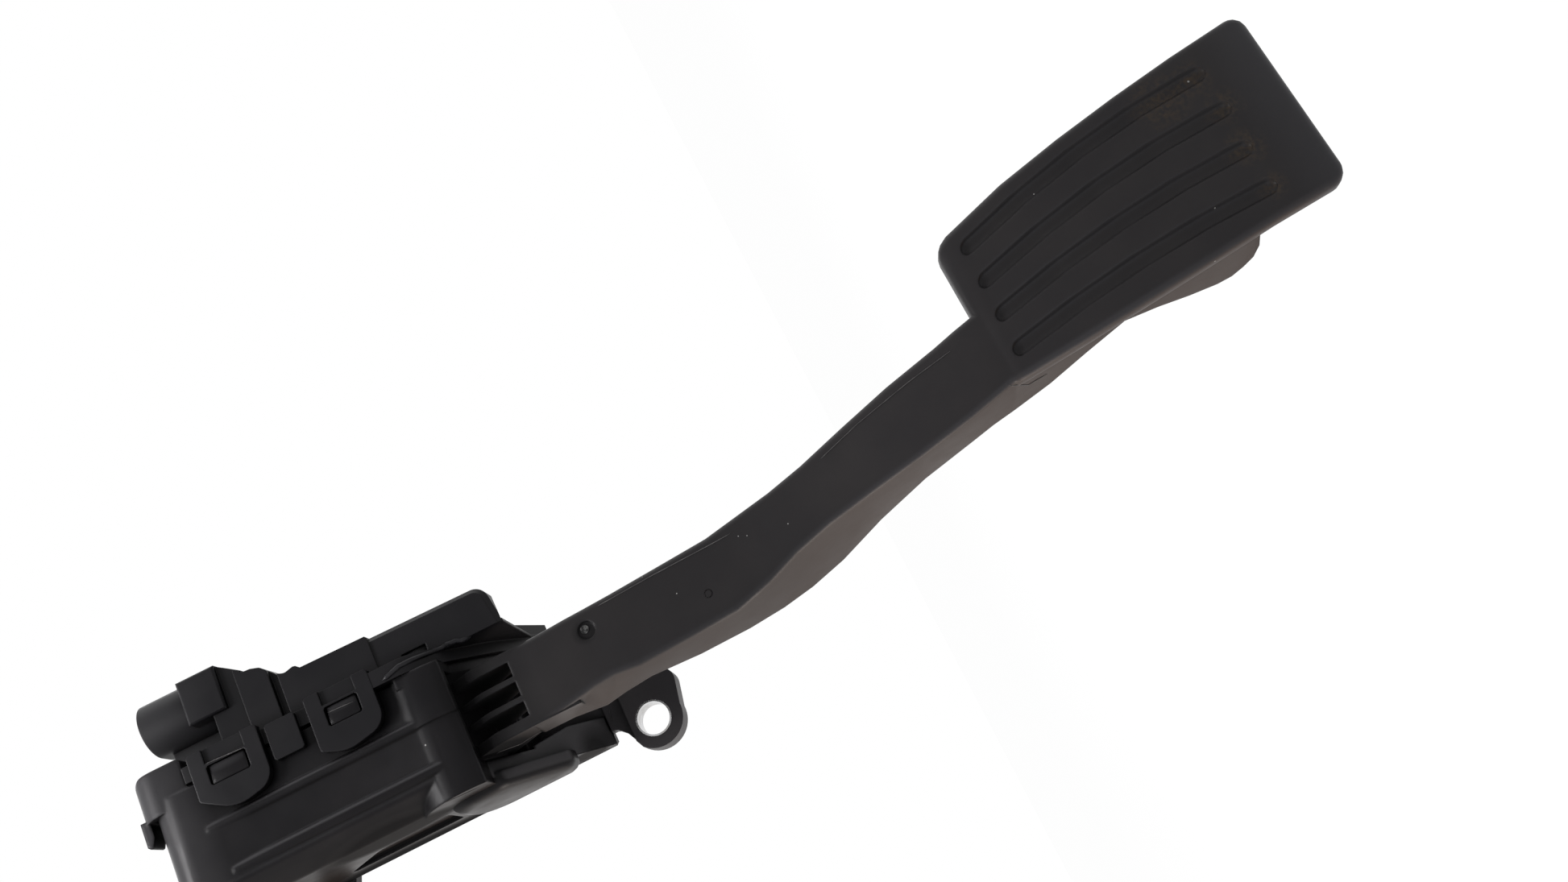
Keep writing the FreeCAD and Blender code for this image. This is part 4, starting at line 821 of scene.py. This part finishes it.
@dataclass
class GateStub:
    """Rough stub that the moulding gate left in its shallow recess."""

    body: Body = Body.PEDAL
    centre: Point = (0.0202, -0.04985, 0.0011)
    foot_radius: float = 0.00125
    top_radius: float = 0.0011
    depth: float = 0.0006
    sides: int = 20
    sharp_deg: float = 50.0

    def build(self) -> None:
        """Make the stub."""
        mesh = bmesh.new()
        place = Matrix.Translation(self.centre) @ Matrix.Rotation(math.pi / 2, 4, "X")
        bmesh.ops.create_cone(mesh, cap_ends=True, segments=self.sides, radius1=self.foot_radius,
                              radius2=self.top_radius, depth=self.depth, matrix=place)
        add_piece("gate_stub", mesh, GATE_STUB.build(), self.body, self.sharp_deg)


@dataclass
class EjectorRing:
    """Faint ring that an ejector pin pressed into the arm's face."""

    body: Body = Body.PEDAL
    centre: Point = (0.0130, -0.0551, -0.0309)
    normal: Point = (0.0, -0.984, 0.179)
    radius: float = 0.001
    bead_radius: float = 0.00011
    bead_sides: int = 6
    steps: int = 24
    sharp_deg: float = 75.0

    def build(self) -> None:
        """Make the ring."""
        mesh = bmesh.new()
        centre = Vector(self.centre)
        normal = Vector(self.normal)
        turn = normal.to_track_quat("Z", "Y").to_matrix().to_4x4()
        start = (Matrix.Translation(centre) @ turn @ Matrix.Translation((self.radius, 0.0, 0.0))
                 @ Matrix.Rotation(math.pi / 2, 4, "X"))
        ring = bmesh.ops.create_circle(mesh, segments=self.bead_sides, radius=self.bead_radius, matrix=start)
        bmesh.ops.spin(mesh, geom=ring["verts"] + edges_at(ring["verts"]), cent=centre, axis=normal,
                       angle=2 * math.pi, steps=self.steps, use_merge=True)
        bmesh.ops.recalc_face_normals(mesh, faces=mesh.faces)
        add_piece("ejector_ring", mesh, LEVER_PLASTIC.build(), self.body, self.sharp_deg)


@dataclass(frozen=True)
class Coil:
    """One return spring: the CAD node that it stands for, its turns and its wire."""

    node: str
    name: str
    turns: float
    wire_radius: float


@dataclass
class SpringPack:
    """The two return springs, wound as fixed coils; on the real pedal they shorten as the slider rises."""

    body: Body = Body.HOUSING
    outer: Coil = Coil("return_spring_outer", "outer_spring_wire", 6.0, 0.0009)
    inner: Coil = Coil("return_spring_inner", "inner_spring_wire", 8.0, 0.00065)
    wire_sides: int = 10
    steps_per_turn: int = 28
    sharp_deg: float = 50.0

    def build(self) -> None:
        """Make both springs in the place of the CAD ones."""
        self.wind(self.outer)
        self.wind(self.inner)

    def wind(self, coil: Coil) -> None:
        """Wind one spring in its CAD node's box.

        Args:
            coil: the spring.
        """
        low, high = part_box(coil.node)
        centre = (low + high) / 2
        coil_radius = (high.x - low.x) / 2 - coil.wire_radius
        rise = high.z - low.z - 2 * coil.wire_radius
        steps = round(coil.turns * self.steps_per_turn)
        mesh = bmesh.new()
        start = Vector((centre.x + coil_radius, centre.y, low.z + coil.wire_radius))
        place = Matrix.Translation(start) @ Matrix.Rotation(math.pi / 2, 4, "X")
        ring = bmesh.ops.create_circle(mesh, segments=self.wire_sides, radius=coil.wire_radius, matrix=place)
        bmesh.ops.spin(mesh, geom=ring["verts"] + edges_at(ring["verts"]), cent=(centre.x, centre.y, 0.0),
                       axis=(0.0, 0.0, 1.0), dvec=(0.0, 0.0, rise / steps), angle=2 * math.pi * coil.turns,
                       steps=steps)
        bmesh.ops.holes_fill(mesh, edges=[edge for edge in mesh.edges if edge.is_boundary], sides=0)
        bmesh.ops.recalc_face_normals(mesh, faces=mesh.faces)
        wire = add_piece(coil.name, mesh, SPRING_STEEL.build(), self.body, self.sharp_deg)
        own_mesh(wire)
        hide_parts(coil.node)


@dataclass(frozen=True)
class Lamp:
    """Soft square lamp: its place, the side of its square, its watts and its tint."""

    name: str
    place: Point
    size: float
    power: float
    tint: Colour = (1.0, 1.0, 1.0)


LAMPS = (
    Lamp("key_lamp", (-1.05, 0.30, -0.15), 0.6, 12.5, (1.0, 0.90, 0.83)),
    Lamp("front_lamp", (-0.65, -1.1, -0.25), 0.9, 3.2, (0.95, 0.95, 1.0)),
    Lamp("top_lamp", (0.02, -0.22, 0.42), 0.15, 2.4, (1.0, 0.99, 1.0)),
    Lamp("right_lamp", (1.15, -0.10, 0.10), 1.0, 4.0),
    Lamp("back_lamp", (0.5, 1.1, 0.7), 1.0, 4.0),
)


@dataclass
class Studio:
    """Camera, lamps, pale floor and white surroundings."""

    camera_place: Point = (-0.07054, -0.40418, -0.05189)
    azimuth_deg: float = 17.5
    elevation_deg: float = -2.0
    roll_deg: float = 116.5
    focal_px: float = 1800.0
    sensor_mm: float = 36.0
    clip_start: float = 0.01
    lamp_target: Point = (0.02, -0.04, -0.04)
    floor_z: float = -0.30
    floor_size: float = 6.0
    floor_grey: Colour = (0.82, 0.82, 0.82)
    floor_glow: float = 1.05
    floor_glow_share: float = 0.92
    ambient: Colour = (0.30, 0.30, 0.31)
    white: Colour = (1.0, 1.0, 1.0)

    def build(self) -> None:
        """Set up everything that isn't part of the object."""
        self.add_camera()
        self.add_floor()
        self.add_world()
        for lamp in LAMPS:
            self.add_lamp(lamp)
        bpy.context.scene.view_settings.view_transform = "Standard"

    def add_camera(self) -> None:
        """Camera at the photograph's viewing angle, turned on its side as it was held."""
        data = bpy.data.cameras.new("camera")
        data.sensor_fit = "HORIZONTAL"
        data.sensor_width = self.sensor_mm
        data.lens = self.sensor_mm * self.focal_px / IMAGE_WIDTH_PX
        data.clip_start = self.clip_start
        camera = bpy.data.objects.new("camera", data)
        aim = (Matrix.Rotation(math.radians(-self.azimuth_deg), 4, "Z")
               @ Matrix.Rotation(math.radians(90.0 + self.elevation_deg), 4, "X")
               @ Matrix.Rotation(math.radians(-self.roll_deg), 4, "Z"))
        camera.matrix_world = Matrix.Translation(self.camera_place) @ aim
        bpy.context.scene.collection.objects.link(camera)
        bpy.context.scene.camera = camera

    def add_floor(self) -> None:
        """Pale floor below the object."""
        mesh = bmesh.new()
        bmesh.ops.create_grid(mesh, x_segments=1, y_segments=1, size=self.floor_size / 2,
                              matrix=Matrix.Translation((0.0, 0.0, self.floor_z)))
        data = bpy.data.meshes.new("floor")
        mesh.to_mesh(data)
        mesh.free()
        data.materials.append(self.floor_material())
        floor = bpy.data.objects.new("floor", data)
        bpy.context.scene.collection.objects.link(floor)

    def floor_material(self) -> bpy.types.Material:
        """Make pale paper that shows almost white but keeps a shadow.

        Returns:
            The material.
        """
        material = bpy.data.materials.new("floor_paper")
        material.use_nodes = True
        tree = material.node_tree
        tree.nodes.clear()
        paper = tree.nodes.new("ShaderNodeBsdfDiffuse")
        paper.inputs["Color"].default_value = (*self.floor_grey, 1.0)
        glow = tree.nodes.new("ShaderNodeEmission")
        glow.inputs["Strength"].default_value = self.floor_glow
        share = tree.nodes.new("ShaderNodeMath")
        share.operation = "MULTIPLY"
        share.inputs[1].default_value = self.floor_glow_share
        tree.links.new(seen_directly(tree), share.inputs[0])
        output = tree.nodes.new("ShaderNodeOutputMaterial")
        blend_into(tree, output, share.outputs["Value"], paper.outputs["BSDF"], glow.outputs["Emission"])
        return material

    def add_world(self) -> None:
        """White surroundings that light the object as plain grey."""
        world = bpy.data.worlds.new("surroundings")
        world.use_nodes = True
        tree = world.node_tree
        tree.nodes.clear()
        lit = tree.nodes.new("ShaderNodeBackground")
        lit.inputs["Color"].default_value = (*self.ambient, 1.0)
        shown = tree.nodes.new("ShaderNodeBackground")
        shown.inputs["Color"].default_value = (*self.white, 1.0)
        output = tree.nodes.new("ShaderNodeOutputWorld")
        blend_into(tree, output, seen_directly(tree), lit.outputs["Background"],
                   shown.outputs["Background"])
        bpy.context.scene.world = world

    def add_lamp(self, lamp: Lamp) -> None:
        """Hang one lamp, aimed at the object's middle.

        Args:
            lamp: the lamp.
        """
        data = bpy.data.lights.new(lamp.name, "AREA")
        data.color = lamp.tint
        data.size = lamp.size
        data.energy = lamp.power
        hung = bpy.data.objects.new(lamp.name, data)
        hung.location = lamp.place
        aim = Vector(self.lamp_target) - Vector(lamp.place)
        hung.rotation_euler = aim.to_track_quat("-Z", "Y").to_euler()
        bpy.context.scene.collection.objects.link(hung)


def seen_directly(tree: bpy.types.NodeTree) -> Socket:
    """Share of rays that show the surroundings: from the camera, off gloss or through glass.

    Args:
        tree: node tree to add to.

    Returns:
        1 for those rays, 0 for light that falls on things.
    """
    path = tree.nodes.new("ShaderNodeLightPath")
    seen = path.outputs["Is Camera Ray"]
    for kind in ("Is Glossy Ray", "Is Transmission Ray"):
        either = tree.nodes.new("ShaderNodeMath")
        either.operation = "MAXIMUM"
        tree.links.new(seen, either.inputs[0])
        tree.links.new(path.outputs[kind], either.inputs[1])
        seen = either.outputs["Value"]
    return seen


def blend_into(tree: bpy.types.NodeTree, output: bpy.types.Node, share: Socket, first: Socket,
               second: Socket) -> None:
    """Blend two shaders into a tree's output.

    Args:
        tree: node tree to add to.
        output: the tree's output node.
        share: 0 to 1.
        first: shader at share 0.
        second: shader at share 1.
    """
    blend = tree.nodes.new("ShaderNodeMixShader")
    tree.links.new(share, blend.inputs["Fac"])
    tree.links.new(first, blend.inputs[1])
    tree.links.new(second, blend.inputs[2])
    tree.links.new(blend.outputs["Shader"], output.inputs["Surface"])


def main() -> None:
    """Build every piece of the scene in order."""
    logging.basicConfig(level=logging.INFO, format="%(message)s")
    Lever().build()
    HousingShell().build()
    SensorModule().build()
    CatchFaces().build()
    FineLines().build()
    GateStub().build()
    EjectorRing().build()
    SpringPack().build()
    Studio().build()


if __name__ == "__main__":
    main()
